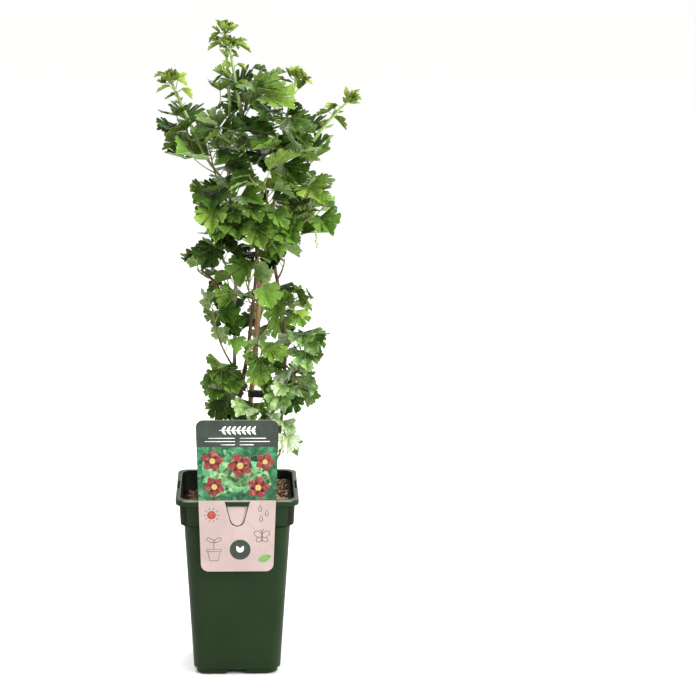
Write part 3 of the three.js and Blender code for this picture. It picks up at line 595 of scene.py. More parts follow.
# each mass: limb, place along it, heading and rise in degrees, reach, leaves, leaf length, seed
sprayRows = {
    # growing tips, pale and small-leaved
    "shoot_top_left": ("stem_left", 1, -160, 86, 80, 9, 15, 3275),
    "shoot_top_right": ("bough_centre", 1, -165, 80, 66, 7, 13, 3580),
    "shoot_left": ("bough_upper_left", 1, -175, 66, 60, 7, 15, 7796),
    "shoot_centre": ("stem_main", 1, 0, 77, 50, 7, 15, 2369),
    "shoot_right": ("stem_right", 1, 0, 50, 76, 8, 15, 3139),
    # leafy spurs, from the top down
    "leaves_upper_left_tip": ("bough_upper_left", 0.8, -175, 30, 22, 7, 36, 2729),
    "leaves_upper_left": ("stem_left", 0.78, -135, 65, 68, 7, 38, 5414),
    "leaves_top_left": ("stem_left", 0.88, -85, 45, 40, 6, 38, 1634),
    "leaves_top_centre": ("bough_centre", 0.92, 40, 60, 20, 7, 38, 2375),
    "leaves_top_right": ("stem_main", 0.93, -100, 60, 30, 7, 38, 2041),
    "leaves_right_high": ("stem_right", 0.93, -20, 65, 28, 7, 40, 4179),
    "leaves_front_top": ("stem_main", 0.84, -90, 10, 42, 7, 38, 1263),
    "leaves_bright_right": ("bough_right", 0.7, -45, 70, 34, 6, 40, 2712),
    "leaves_right": ("bough_right", 0.4, 0, 10, 18, 6, 38, 1221),
    "leaves_mid_left": ("stem_left", 0.72, -155, 60, 52, 7, 36, 9010),
    "leaves_left_shoulder": ("stem_left", 0.64, -140, 60, 62, 7, 36, 406),
    "leaves_front_left": ("stem_left", 0.72, -95, 55, 74, 6, 38, 3159),
    "leaves_front_high": ("bough_front", 0.9, -90, 65, 60, 6, 38, 8983),
    "leaves_front_mid": ("bough_centre", 0.58, -110, 15, 40, 7, 36, 448),
    "leaves_front_centre": ("stem_main", 0.68, -80, 20, 48, 7, 38, 8434),
    "leaves_front_low": ("stem_main", 0.58, -90, 30, 52, 7, 34, 5850),
    "leaves_waist": ("bough_centre", 0.4, -105, 40, 40, 6, 32, 7463),
    "leaves_waist_right": ("stem_right", 0.58, -65, 55, 28, 5, 30, 5581),
    "leaves_left_tip": ("bough_left", 0.7, 180, 35, 16, 6, 32, 4509),
    "leaves_left": ("stem_left", 0.44, -155, 70, 66, 6, 30, 987),
    "leaves_left_low": ("stem_left", 0.3, -145, 75, 66, 7, 28, 2650),
    "leaves_left_foot": ("stem_left", 0.2, -115, 70, 98, 6, 28, 9885),
    "leaves_right_waist": ("stem_right", 0.5, -50, 10, 14, 7, 28, 9420),
    "leaves_right_low_tip": ("bough_right_low", 0.75, -10, 70, 20, 7, 28, 9937),
    "leaves_right_low": ("stem_right", 0.36, -45, -35, 20, 8, 30, 6022),
    "leaves_centre_low": ("stem_main", 0.4, -70, 5, 32, 7, 28, 7124),
    "leaves_right_foot": ("stem_right", 0.17, -35, 65, 52, 6, 27, 5072),
    "leaves_centre_foot": ("stem_main", 0.28, -75, 50, 50, 6, 30, 9156),
    # the far side
    "leaves_back_top": ("stem_back", 0.94, 70, 55, 30, 6, 36, 9925),
    "leaves_back_left_high": ("stem_back", 0.84, 160, 5, 34, 7, 38, 1527),
    "leaves_back_right_high": ("bough_back_right", 0.8, 35, 60, 32, 7, 38, 7534),
    "leaves_back_high": ("stem_back", 0.8, 85, 5, 30, 7, 38, 7482),
    "leaves_back_left": ("bough_back_left", 0.8, 150, 45, 26, 7, 36, 3537),
    "leaves_back": ("stem_back", 0.62, 105, 5, 28, 6, 34, 3428),
    "leaves_back_right": ("bough_back_right", 0.4, 25, -25, 28, 6, 36, 338),
    "leaves_back_low_left": ("stem_back", 0.5, 145, 15, 40, 7, 32, 7234),
    "leaves_back_low_right": ("stem_back", 0.44, 35, 50, 48, 7, 32, 2970),
    "leaves_back_foot_right": ("stem_right", 0.28, 65, 35, 40, 6, 30, 4896),
    "leaves_back_foot_left": ("stem_back", 0.24, 135, 70, 96, 6, 30, 3576),
}


def pointOn(points, at):  # a centripetal Catmull-Rom curve through the points
    last = len(points) - 1
    first = min(int(at * last), last - 1)
    share = at * last - first
    p1, p2 = points[first], points[first + 1]
    p0 = points[first - 1] if first > 0 else p1 * 2 - p2
    p3 = points[first + 2] if first + 2 <= last else p2 * 2 - p1
    d0, d1, d2 = math.sqrt((p1 - p0).length), math.sqrt((p2 - p1).length), math.sqrt((p3 - p2).length)
    t1 = ((p1 - p0) / d0 - (p2 - p0) / (d0 + d1) + (p2 - p1) / d1) * d1
    t2 = ((p2 - p1) / d1 - (p3 - p1) / (d1 + d2) + (p3 - p2) / d2) * d1
    return (p1 + t1 * share + (-3 * p1 + 3 * p2 - 2 * t1 - t2) * share ** 2
            + (2 * p1 - 2 * p2 + t1 + t2) * share ** 3)


def tangentOn(points, at):
    return (pointOn(points, min(at + 1e-4, 1)) - pointOn(points, max(at - 1e-4, 0))).normalized()


def seatOn(limb, at, heading):
    centre = pointOn(limb["points"], at)
    along = tangentOn(limb["points"], at)
    out = (heading - along * heading.dot(along)).normalized()
    return centre + out * (lerp(*limb["radii"], at) + growth["clearance"]), out


def growLimbs():
    limbs = {}
    for name, (bark, radii, through, *seat) in limbPlans.items():
        points = [Vector(point) for point in through]
        if seat:
            carrier, at = limbs[seat[0]], seat[1]
            heading = points[0] - pointOn(carrier["points"], at)
            points.insert(0, seatOn(carrier, at, heading)[0])
        else:  # a stem leaves the soil upright
            points[0].z = growth["soilLevel"] + growth["clearance"]
            points.insert(1, points[0] + up * 8)
        limbs[name] = {"points": points, "radii": radii, "bark": bark}
    return limbs


limbs = growLimbs()


def seededRandom(seed):  # the part's own generator, so that the same bush grows
    state = seed

    def draw():
        nonlocal state
        state = (state * 1664525 + 1013904223) % 4294967296
        return state / 4294967296
    return draw


def warmRandom(seed):  # the first draws of neighbouring seeds are nearly alike, so one is skipped
    draw = seededRandom(seed)
    draw()
    return draw


def between(draw, least, spread):
    return least + spread * draw()


def turned(vector, axis, angle):
    return Quaternion(axis, angle) @ vector


def growTwig(on, at, heading, rise, reach):
    turn, tilt = math.radians(heading), math.radians(rise)
    way = Vector((math.cos(turn) * math.cos(tilt), math.sin(turn) * math.cos(tilt), math.sin(tilt)))
    limb = limbs[on]
    if at < 1:
        seat, foot = seatOn(limb, at, way)
    else:
        foot = tangentOn(limb["points"], 1)
        seat = limb["points"][-1] + foot * growth["clearance"]
    bend = seat + way * (reach / 2) + foot * (reach * growth["twigBend"])
    return {"seat": seat, "bend": bend, "tip": seat + way * reach, "reach": reach}


def twigPoint(twig, share):
    rest = 1 - share
    return twig["seat"] * rest ** 2 + twig["bend"] * 2 * rest * share + twig["tip"] * share ** 2


def leafAxes(level, droop, sway):  # along the blade and out of its upper side
    along = level * math.cos(droop) - up * math.sin(droop)
    return along, turned(level * math.sin(droop) + up * math.cos(droop), along, sway)


def leafPlace(root, out, size, draw):
    stalkLength = size * between(draw, 0.4, 0.45)
    stalkWay = (out + up * between(draw, 0.15, 0.45)).normalized()
    joint = root + stalkWay * stalkLength
    low = (growth["risingHeight"] - root.z) / (growth["risingHeight"] - growth["hangingHeight"])
    droop = lerp(growth["risingDroop"], growth["hangingDroop"], min(max(low, 0), 1))
    droop += (draw() - 0.5) * growth["leafSway"]
    level = Vector((out.x, out.y, 0)).normalized()
    level = turned(level, up, (draw() - 0.5) * growth["leafSway"])
    along, face = leafAxes(level, droop, (draw() - 0.5) * growth["leafSway"])
    return {"root": root, "joint": joint, "along": along, "face": face, "size": size,
            "young": False}


def tryLeaf(twig, seed, leaf, leaves, size, attempt):
    turnOf = (leaf + 0.5) / leaves
    young = size < growth["youngSize"]
    share = 1 - 0.72 * (1 - turnOf) ** 2 if young else 0.2 + 0.79 * turnOf
    steps = growth["twigSteps"]
    piece = min(int(share * steps), steps - 1)
    start, end = twigPoint(twig, piece / steps), twigPoint(twig, (piece + 1) / steps)
    root = start.lerp(end, share * steps - piece)
    along = (end - start).normalized()
    side = Vector((along.y, -along.x, 0)).normalized()
    draw = warmRandom(seed * 1000 + leaf * 50 + attempt)
    angle = (leaf * growth["leafSpiral"] + (draw() - 0.5) * growth["leafScatter"]
             + attempt * growth["retryTurn"])
    out = (turned(side, along, angle) + along * (0.35 + share * 0.9)).normalized()
    vigour = 0.8 + 0.34 * draw() - growth["retryShrink"] * attempt
    return leafPlace(root, out, size * vigour * (1.2 - 0.5 * share if young else 1), draw)


# the blades: each is a thin lens of two fans round its rim
blades = {
    "thickness": 0.5,
    "middle": 0.2,             # where the fan's spokes meet, as a share of the length
    "rims": {  # half a rim from the tip round to the stalk: shares of the length along and across
        "grown": [(0.97, 0), (0.95, 0.085), (0.885, 0.115), (0.9, 0.19), (0.86, 0.26), (0.78, 0.285),
                  (0.56, 0.2), (0.7, 0.3), (0.8, 0.375), (0.8, 0.46), (0.73, 0.48), (0.725, 0.565),
                  (0.655, 0.615), (0.565, 0.59), (0.4, 0.4), (0.43, 0.54), (0.375, 0.61), (0.29, 0.62),
                  (0.24, 0.555), (0.15, 0.59), (0.04, 0.53), (-0.03, 0)],
        "deepCut": [(0.98, 0), (0.96, 0.08), (0.87, 0.1), (0.9, 0.175), (0.85, 0.235), (0.76, 0.24),
                    (0.45, 0.12), (0.66, 0.26), (0.785, 0.34), (0.79, 0.42), (0.7, 0.425), (0.7, 0.51),
                    (0.63, 0.555), (0.54, 0.51), (0.34, 0.28), (0.42, 0.47), (0.375, 0.555),
                    (0.29, 0.56), (0.23, 0.47), (0.15, 0.51), (0.04, 0.44), (-0.03, 0)],
        "young": [(1.0, 0), (0.98, 0.08), (0.88, 0.1), (0.88, 0.2), (0.76, 0.24), (0.6, 0.2),
                  (0.64, 0.34), (0.6, 0.44), (0.46, 0.38), (0.36, 0.4), (0.24, 0.3), (0.06, 0.22),
                  (-0.03, 0)],
    },
    "lobeTurn": 0.506,         # radians between the main veins of neighbouring lobes
    "deepCutFrom": 500,        # the high leaves are cut deeper, and the low ones are smaller
    "highSize": 0.9,
    "lowSize": 0.8,
    "fold": (0.55, 0.75),      # least share of its value, and how much more it may be
    "sag": (0.7, 1.1),
    "wave": 0.05,
    "pleat": 0.05,             # each lobe is a valley between two ridges
    "leastPleat": 0.04,
    "leastHighPleat": 0.02,
}


def makeBlade(rim):  # points with shares of the length, and faces with 0 for upper, 1 for under
    count = 2 * (len(rim) - 1)
    bm = bmesh.new()
    bmesh.ops.create_circle(bm, cap_ends=True, cap_tris=True, segments=count, radius=1)
    bmesh.ops.rotate(bm, matrix=Matrix.Rotation(-math.pi / 2, 3, "Z"), verts=bm.verts)
    middle = blades["middle"]
    for point in bm.verts:
        if point.co.length < 0.1:
            point.co = Vector((middle, 0, 0))
            continue
        step = round(math.atan2(point.co.y, point.co.x) / (2 * math.pi) * count)
        along, across = rim[abs(step)]
        point.co = Vector((along, math.copysign(across, step), 0))
    copy = bmesh.ops.duplicate(bm, geom=bm.faces[:])["geom"]
    for face in copy:
        if isinstance(face, bmesh.types.BMFace):
            face.material_index = 1
    for point in bm.verts:
        if (point.co - Vector((middle, 0, 0))).length < 1e-6:
            upper = point.link_faces[0].material_index == 0
            point.co.z = 0.01 if upper else -0.01
    bmesh.ops.remove_doubles(bm, verts=bm.verts, dist=1e-5)
    bmesh.ops.recalc_face_normals(bm, faces=bm.faces)
    points = [point.co.copy() for point in bm.verts]
    faces = [([point.index for point in face.verts], face.material_index) for face in bm.faces]
    bm.free()
    return points, faces


bladeShapes = {name: makeBlade(rim) for name, rim in blades["rims"].items()}


def layBlade(place, draw):  # a blade in its place: folded, sagging and a little wavy
    size = place["size"]
    high = place["joint"].z > blades["deepCutFrom"]
    shape = "young"
    if not place["young"] or size >= growth["youngSize"] * 0.98:
        shape = "deepCut" if high else "grown"
        size *= blades["highSize"] if high else blades["lowSize"]
    points, faces = bladeShapes[shape]
    across = place["face"].cross(place["along"])
    fold = growth["leafFold"] * between(draw, *blades["fold"])
    sag = growth["leafSag"] * between(draw, *blades["sag"]) * place.get("curl", 1)
    wave, phase = blades["wave"] * draw(), fullTurn * draw()
    pleat = between(draw, blades["leastHighPleat" if high else "leastPleat"], blades["pleat"])
    laid = []
    for point in points:
        x, y = point.x * size, point.y * size
        turn = math.atan2(y, x)
        ripple = wave * math.sin(3 * turn + phase)
        ripple -= pleat * math.cos(turn * 2 * math.pi / blades["lobeTurn"])
        z = abs(y) * fold - sag * x * x / size + ripple * size * point.length_squared
        z += math.copysign(blades["thickness"] / 2, point.z) if abs(point.z) > 1e-6 else 0
        laid.append(place["joint"] + place["along"] * x + across * y + place["face"] * z)
    return {
        "shape": shape, "points": laid, "shade": draw(),
        "middle": place["joint"] + place["along"] * size * 0.35, "reach": size * 0.75,
        "tree": BVHTree.FromPolygons(laid, [face for face, _ in faces]),
    }


crownProfile = [  # the crown's outline: height, left edge, right edge
    (225, -30, 72), (262, -30, 74), (282, -38, 80), (299, -44, 92), (342, -42, 94), (353, -35, 96),
    (375, -35, 96), (388, -44, 84), (412, -48, 82), (418, -52, 60), (447, -66, 54), (458, -58, 74),
    (474, -52, 108), (485, -52, 115), (540, -57, 104), (550, -72, 107), (597, -90, 104),
    (610, -36, 70), (700, -36, 140),
]

fineTwigs = {
    "perSpray": 3,
    "margin": 3,               # how far inside the crown's edge they stay
    "reach": (0.3, 0.6),       # shares of a grown leaf's length
    "leaves": 3,
    "leafShare": (0.42, 0.72),
    "attempts": 8,
    "radii": (0.75, 0.5),
    "stalkRadius": 0.42,
    "seed": 900,
}

# seen from the front: gaps that stay clear (across, height, radius)
crownGaps = [
    (74, 230, 18), (78, 272, 15), (-44, 340, 15), (-54, 472, 14), (92, 638, 13), (106, 546, 13),
    (-38, 378, 13), (58, 432, 13), (-52, 416, 12), (-58, 536, 12), (112, 504, 12), (94, 316, 12),
    (78, 618, 11), (110, 518, 11), (106, 588, 11), (-46, 542, 10), (-72, 598, 10), (96, 468, 9),
    (88, 384, 9), (-30, 618, 9), (56, 228, 8), (92, 546, 8), (-50, 438, 8), (66, 602, 7),
    (-38, 470, 7), (96, 376, 7), (54, 420, 7), (-36, 366, 7), (-70, 548, 7), (-42, 292, 7),
    (46, 428, 6), (74, 464, 6), (96, 586, 6), (-36, 544, 6), (-48, 606, 6), (94, 538, 5),
    (82, 412, 5), (76, 546, 5), (-18, 348, 5), (-24, 612, 5), (84, 320, 5), (70, 386, 5),
    (11, 299, 14), (74, 248, 9), (-52, 486, 9),
]

# where one more leaf on a spur fills the crown (across, height), and how such spurs are tried
crownFills = [
    (7, 406), (-16, 342), (85, 366), (24, 364), (-20, 627), (6, 257), (-63, 555), (-13, 251),
    (76, 408), (-31, 362), (15, 352), (-45, 396), (52, 403), (22, 645), (-16, 640), (80, 352),
    (0, 395), (-8, 276), (30, 318), (-64, 566), (12, 378), (40, 640),
]
fills = {
    "attempts": 60,
    "carriers": 3,             # how many of the nearest twigs are tried
    "depth": 24,
    "longestSpur": 32,
    "smallAbove": 630,         # near the top such a leaf is smaller
    "smallShare": 0.7,
    "radii": (0.8, 0.5),
    "stalkRadius": 0.45,
    "seed": 5200,
}

# more spurs, written as the masses are, but without a seed of their own
fillSprays = {
    "fill_main_low": ("stem_main", 0.43, -50, 0, 16, 2, 27),
    "fill_upper_left": ("bough_upper_left", 0.9, 180, 20, 12, 3, 38),
    "fill_top": ("stem_main", 0.97, -60, 75, 30, 3, 26),
    "fill_right_low": ("bough_right_low", 0.92, 15, 60, 20, 3, 25),
    "fill_centre_low": ("bough_centre", 0.12, -95, 30, 8, 2, 22),
    "fill_right_foot": ("stem_right", 0.24, -35, 25, 12, 3, 24),
    "fill_left_low": ("stem_left", 0.38, 190, 40, 12, 2, 22),
    "fill_right_waist": ("stem_right", 0.66, -15, -30, 10, 3, 30),
    "fill_top_left": ("stem_left", 0.97, 160, 30, 14, 3, 26),
    "fill_back_top": ("stem_back", 0.98, 60, 60, 16, 3, 28),
    "fill_tie": ("stem_main", 0.35, -110, 20, 8, 2, 22),
}

# single young leaves along the growing tips: shoot, place, heading, length
shootLeafSeed = 4400
shootStalkRadius = 0.42
shootLeaves = [
    ("shoot_top_left", 0.86, 185, 15), ("shoot_top_left", 0.7, 200, 16),
    ("shoot_top_left", 0.3, 180, 15), ("shoot_top_left", 0.62, 10, 11),
    ("shoot_top_right", 0.9, -15, 18), ("shoot_top_right", 0.98, 20, 12),
    ("shoot_top_right", 0.55, -20, 12), ("shoot_top_right", 0.3, 5, 12),
    ("shoot_left", 0.72, 215, 16), ("shoot_left", 0.66, 0, 15), ("shoot_left", 0.9, -10, 14),
    ("shoot_centre", 0.85, 0, 14), ("shoot_centre", 0.6, 190, 15), ("shoot_centre", 0.3, -20, 12),
    ("shoot_right", 0.62, 170, 15), ("shoot_right", 0.5, -10, 18), ("shoot_right", 0.78, 190, 13),
]


def seen(point):  # where a place stands in the bush's middle plane, looked at from the front
    away = -view["cameraAt"][1] / (point.y - view["cameraAt"][1])
    return Vector((point.x * away, 0, lerp(view["cameraAt"][2], point.z, away)))


def keepsGapsClear(points):
    spots = [seen(point) for point in points]
    spots += [a.lerp(b, 0.5) for a, b in zip(spots, spots[1:])]
    return not any(
        (spot.x - x) ** 2 + (spot.z - z) ** 2 < radius ** 2
        for x, z, radius in crownGaps for spot in spots)


def inCrown(points, margin=0):
    for point in points:
        depthAt = point.y
        point = seen(point)
        above = next((i for i, row in enumerate(crownProfile) if row[0] > point.z), 0)
        if above < 1:
            return False
        low, high = crownProfile[above - 1], crownProfile[above]
        share = (point.z - low[0]) / (high[0] - low[0])
        left, right = lerp(low[1], high[1], share), lerp(low[2], high[2], share)
        depth = (right - left) * growth["crownDepth"] / 2
        if not (left + margin < point.x < right - margin and abs(depthAt) < depth):
            return False
    return True


def cadTree(name):
    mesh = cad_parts[name].data
    return BVHTree.FromPolygons(
        [point.co / mm for point in mesh.vertices], [list(face.vertices) for face in mesh.polygons])


def leafTip(place):  # where the solid leaf has the first point of its rim
    x, y = (0.96, 0.12) if place["young"] else (0.99, 0.09)
    size = place["size"]
    across = place["face"].cross(place["along"])
    z = y * size * growth["leafFold"] - growth["leafSag"] * x * x * size
    return place["joint"] + place["along"] * x * size + across * y * size + place["face"] * z


def clearOf(blade, others):
    return not any(
        (blade["middle"] - other["middle"]).length < blade["reach"] + other["reach"]
        and blade["tree"].overlap(other["tree"])
        for other in others)


twigLines = {"twigs": [], "shoots": []}
stalkLines = {"grown": [], "young": []}
leaves = []


def keepLeaf(blade, spray, place, stalkRadius, kind="grown"):
    blade["spray"] = spray
    leaves.append(blade)
    addStalk(place, stalkRadius, kind)


def fitsCrown(blade, margin, *others):  # inside the crown, out of its gaps and off every other leaf
    return (inCrown([*blade["points"], *others], margin) and keepsGapsClear(blade["points"])
            and clearOf(blade, leaves))


def addStalk(place, radius, kind):
    start, end = place["root"], place["joint"] - place["face"] * 0.25
    length = (end - start).length
    middle = start.lerp(end, 0.55) - up * (0.08 * length)
    line = []
    for step in range(5):
        share = step / 4
        rest = 1 - share
        at = start * rest ** 2 + middle * 2 * rest * share + end * share ** 2
        line.append((at, radius * (1.5 - 1.0 * share if share < 0.3 else 1.0 + 0.15 * share)))
    stalkLines[kind].append(line)


def addTwig(twig, radius, tipRadius, kind):
    steps = 9
    twigLines[kind].append([
        (twigPoint(twig, step / (steps - 1)), lerp(radius, tipRadius, step / (steps - 1)))
        for step in range(steps)])


def growSprays():
    grown = []
    for number, (name, row) in enumerate(sprayRows.items(), 1):
        on, at, heading, rise, reach, count, size, seed = row
        twig = growTwig(on, at, heading, rise, reach)
        young = size < growth["youngSize"]
        solid = cadTree(name)
        for leaf in range(count):
            for attempt in range(growth["attempts"]):
                place = tryLeaf(twig, seed, leaf, count, size, attempt)
                place["young"] = young
                if solid.find_nearest(leafTip(place), 0.05)[0] is None:
                    continue
                blade = layBlade(place, seededRandom(number * growth["bladeSeed"] + leaf))
                keepLeaf(blade, name, place, growth["stalkRadius"], "young" if young else "grown")
                break
        if young:
            addTwig(twig, *growth["shootRadii"], "shoots")
        else:
            addTwig(twig, growth["twigRadius"] * 1.05, growth["twigRadius"] * 0.6, "twigs")
        grown.append((name, number, twig, size))
    return grown


def growFineTwigs(sprays):
    placed = 0
    for name, number, twig, size in sprays:
        if size < growth["youngSize"]:
            continue
        for branch in range(fineTwigs["perSpray"]):
            draw = warmRandom(fineTwigs["seed"] + number * 40 + branch)
            share = 0.25 + 0.7 * (branch + draw()) / fineTwigs["perSpray"]
            seat = twigPoint(twig, share)
            along = (twigPoint(twig, min(share + 0.05, 1)) - twigPoint(twig, share - 0.05)).normalized()
            side = turned(along.orthogonal().normalized(), along, fullTurn * draw())
            way = (side + along * 0.6 + up * 0.3).normalized()
            reach = size * lerp(*fineTwigs["reach"], draw())
            small = {"seat": seat, "bend": seat + way * reach * 0.5 + along * reach * 0.15,
                     "tip": seat + way * reach}
            kept = 0
            for leaf in range(fineTwigs["leaves"]):
                for attempt in range(fineTwigs["attempts"]):
                    angle = leaf * growth["leafSpiral"] + attempt * growth["retryTurn"] + draw()
                    leafShare = 0.4 + 0.59 * (leaf + 0.5) / fineTwigs["leaves"]
                    out = (turned(side, way, angle) + way * (0.35 + 0.9 * leafShare)).normalized()
                    leafSize = size * lerp(*fineTwigs["leafShare"], draw())
                    place = leafPlace(twigPoint(small, leafShare), out, leafSize, draw)
                    blade = layBlade(place, draw)
                    if fitsCrown(blade, fineTwigs["margin"], place["root"]):
                        keepLeaf(blade, name, place, fineTwigs["stalkRadius"])
                        kept += 1
                        break
            if kept:
                addTwig(small, *fineTwigs["radii"], "twigs")
                placed += kept
    return placed


def growFillers():
    placed = 0
    for number, (name, row) in enumerate(fillSprays.items(), 60):
        on, at, heading, rise, reach, count, size = row
        twig = growTwig(on, at, heading, rise, reach)
        kept = 0
        for leaf in range(count):
            for attempt in range(growth["attempts"]):
                place = tryLeaf(twig, number, leaf, count, size, attempt)
                blade = layBlade(place, seededRandom(number * growth["bladeSeed"] + leaf))
                if fitsCrown(blade, -growth["crownPast"]):
                    keepLeaf(blade, name, place, growth["stalkRadius"])
                    kept += 1
                    break
        if kept:
            addTwig(twig, *growth["fillerRadii"], "twigs")
        placed += kept
    return placed


def growFills(sprays):  # a spur from the nearest twig to each fuller place, with its leaf there
    placed = 0
    carriers = [(name, size, twigPoint(twig, share)) for name, _, twig, size in sprays
                for share in (0.3, 0.6, 0.9) if size >= growth["youngSize"]]
    for number, (x, z) in enumerate(crownFills):
        spot = Vector((x, 0, z))
        near = sorted(carriers, key=lambda row: (seen(row[2]) - spot).length)[:fills["carriers"]]
        for attempt in range(fills["attempts"]):
            draw = warmRandom(fills["seed"] + number * 70 + attempt)
            name, size, seat = near[attempt % fills["carriers"]]
            depthAt = seat.y + fills["depth"] * (draw() - 0.5)
            away = (depthAt - view["cameraAt"][1]) / -view["cameraAt"][1]
            middle = Vector((x * away, depthAt, lerp(view["cameraAt"][2], z, away)))
            turn = fullTurn * draw()
            out = (Vector((math.cos(turn), math.sin(turn), 0.2)) + (middle - seat) / 30).normalized()
            share = fills["smallShare"] if z > fills["smallAbove"] else 1
            size = size * (0.75 - 0.006 * attempt) * share
            place = leafPlace(middle, out, size, draw)
            shift = middle - place["joint"] - place["along"] * size * 0.35
            place["root"] += shift
            place["joint"] = place["joint"] + shift
            blade = layBlade(place, draw)
            reached = (place["root"] - seat).length < fills["longestSpur"]
            if (reached and inCrown([place["root"]], growth["crownPast"])
                    and fitsCrown(blade, -growth["crownPast"])):
                keepLeaf(blade, name, place, fills["stalkRadius"])
                bend = seat.lerp(place["root"], 0.5) + up * 1.5
                addTwig({"seat": seat, "bend": bend, "tip": place["root"]}, *fills["radii"], "twigs")
                placed += 1
                break
    return placed


def growShootLeaves(sprays):
    twigs = {name: twig for name, _, twig, _ in sprays}
    for number, (name, share, heading, size) in enumerate(shootLeaves):
        draw = warmRandom(shootLeafSeed + number)
        twig = twigs[name]
        root = twigPoint(twig, share)
        turn = math.radians(heading + 50 * (draw() - 0.5))
        level = Vector((math.cos(turn), math.sin(turn), 0))
        joint = root + (level * 0.75 + up * 0.6).normalized() * size * 0.42
        droop = 0.15 + 0.5 * draw()
        along, face = leafAxes(level, droop, 0.9 * (draw() - 0.5))
        place = {"root": root, "joint": joint, "along": along, "face": face, "size": size,
                 "young": True}
        keepLeaf(layBlade(place, draw), name, place, shootStalkRadius, "young")


# the closed tuft of unfolding leaves at each growing tip
tufts = {
    "leaves": 16,
    "size": (6, 11),
    "stalkRadius": 0.45,
    "seed": 500,
}


def growTufts(sprays):
    for name, number, twig, size in sprays:
        if size >= growth["youngSize"]:
            continue
        tip = twig["tip"]
        way = (tip - twigPoint(twig, 0.9)).normalized()
        side = way.orthogonal().normalized()
        for leaf in range(tufts["leaves"]):
            draw = warmRandom(tufts["seed"] + number * 30 + leaf)
            share = leaf / tufts["leaves"]
            out = turned(side, way, leaf * growth["leafSpiral"] + 0.6 * draw())
            root = tip - way * (5 * share)
            lean = (way * (1.1 - 0.95 * share) + out * (0.35 + 0.75 * share)).normalized()
            length = lerp(*tufts["size"], share) * (0.85 + 0.3 * draw())
            joint = root + lean * (0.25 + 0.35 * share) * length
            along = (lean + up * 0.15).normalized()
            face = (out - along * out.dot(along)) * -1
            face = turned(face.normalized(), along, (draw() - 0.5) * 1.2)
            place = {"root": root, "joint": joint, "along": along, "face": face, "size": length,
                     "young": True, "curl": -1.8}
            keepLeaf(layBlade(place, draw), name, place, tufts["stalkRadius"], "young")


# threads of small unopened flowers that hang from a twig: across, depth and height of the top, length
flowerStrings = {
    "tops": [(82, -14, 484, 24), (47, -42, 262, 17), (-20, 52, 452, 17)],
    "buds": 7,
    "radius": 1.4,
}


def hangFlowers(sprays):
    carriers = [twigPoint(twig, share) for _, _, twig, _ in sprays for share in (0.2, 0.5, 0.8)]
    bm = bmesh.new()
    for x, y, z, length in flowerStrings["tops"]:
        top = Vector((x, y, z))
        seat = min(carriers, key=lambda point: (point - top).length)
        stalkLines["young"].append([
            (seat, 0.35), (seat.lerp(top, 0.5) + up * 2, 0.35), (top, 0.35),
            (top + Vector((0.4, 0.2, -length * 0.5)), 0.32), (top + Vector((1.6, 0, -length)), 0.28)])
        for number in range(flowerStrings["buds"]):
            share = (number + 1) / flowerStrings["buds"]
            radius = flowerStrings["radius"] * (1.25 - 0.6 * share)
            bud = bmesh.ops.create_icosphere(bm, subdivisions=1, radius=radius)["verts"]
            bmesh.ops.scale(bm, vec=(1, 1, 1.4), verts=bud)
            side = turned(Vector((0.9, 0, 0)), up, number * growth["leafSpiral"])
            at = top + Vector((1.6 * share ** 2, 0, -length * share)) + side
            bmesh.ops.translate(bm, vec=at, verts=bud)
    return meshFrom(bm, "flowerBuds")


sprays = growSprays()
print("sprays:", len(leaves), "leaves where the part's masses have theirs")
growShootLeaves(sprays)
growTufts(sprays)
print("sprays:", growFillers() + growFills(sprays), "leaves on fuller spurs")
print("sprays:", growFineTwigs(sprays), "leaves on finer twigs")
flowerBuds = hangFlowers(sprays)


leafTones = {  # upper side: its colours from dark to light, vein, roughness, shine
    "deepLeaf": (("#0d1901", "#3f601c"), "#55742c", 0.38, 0.12),
    "midLeaf": (("#182a03", "#6d943a"), "#85a24c", 0.38, 0.14),
    "freshLeaf": (("#2a440a", "#88ab46"), "#a0bc64", 0.44, 0.12),
    "brightLeaf": (("#4a6b10", "#aac856"), "#c2da88", 0.42, 0.18),
    # the waxy tone's palest, near-white greens are painted sheen: the glare of the key lamp and sky on
    # the lower right leaves, over their waxy skin
    "waxyLeafWithPaintedSheen": (("#213b07", "#446c1c", "#85a75a", "#b6cb9c", "#d5e2c8"), "#5d8138", 0.32, 0.5),
    "youngLeaf": (("#26380a", "#a0ba44"), "#bed072", 0.46, 0.2),
}
underTones = {
    "paleUnderside": (("#5d7a3e", "#8ba563"), "#a8bd84", 0.6, 0.25),
    "oliveUnderside": (("#36480f", "#6b8338"), "#8ba058", 0.58, 0.12),
    "youngUnderside": (("#465e12", "#8ca444"), "#a4b868", 0.6, 0.2),
}

# where a spray takes its upper tone: partly the leaves' own colour, partly painted shade in the deep
# sprays and painted light in the fresh, bright and waxy ones, most of which stand on the right, towards
# the key lamp
sprayTones = {
    "deepLeaf": ["leaves_upper_left_tip", "leaves_upper_left", "leaves_right_high", "leaves_front_top",
                 "leaves_left_tip", "leaves_left_low", "leaves_waist_right", "leaves_back_high",
                 "leaves_back", "leaves_back_low_left", "leaves_left_foot", "leaves_left"],
    "freshLeaf": ["leaves_right", "leaves_right_waist", "leaves_back_right_high", "leaves_centre_low"],
    "brightLeaf": ["leaves_bright_right", "fill_centre_low"],
    "waxyLeafWithPaintedSheen": ["leaves_right_low", "leaves_right_foot", "leaves_right_low_tip", "leaves_centre_foot",
                 "fill_right_low", "fill_right_foot"],
}

toneMix = {
    "seed": 3000,
    "lighterUnder": 0.25,      # draws that make a leaf a tone lighter or darker than its spray
    "darkerOver": 0.7,
    "paleUnder": 0.6,          # share of the undersides that are pale
}


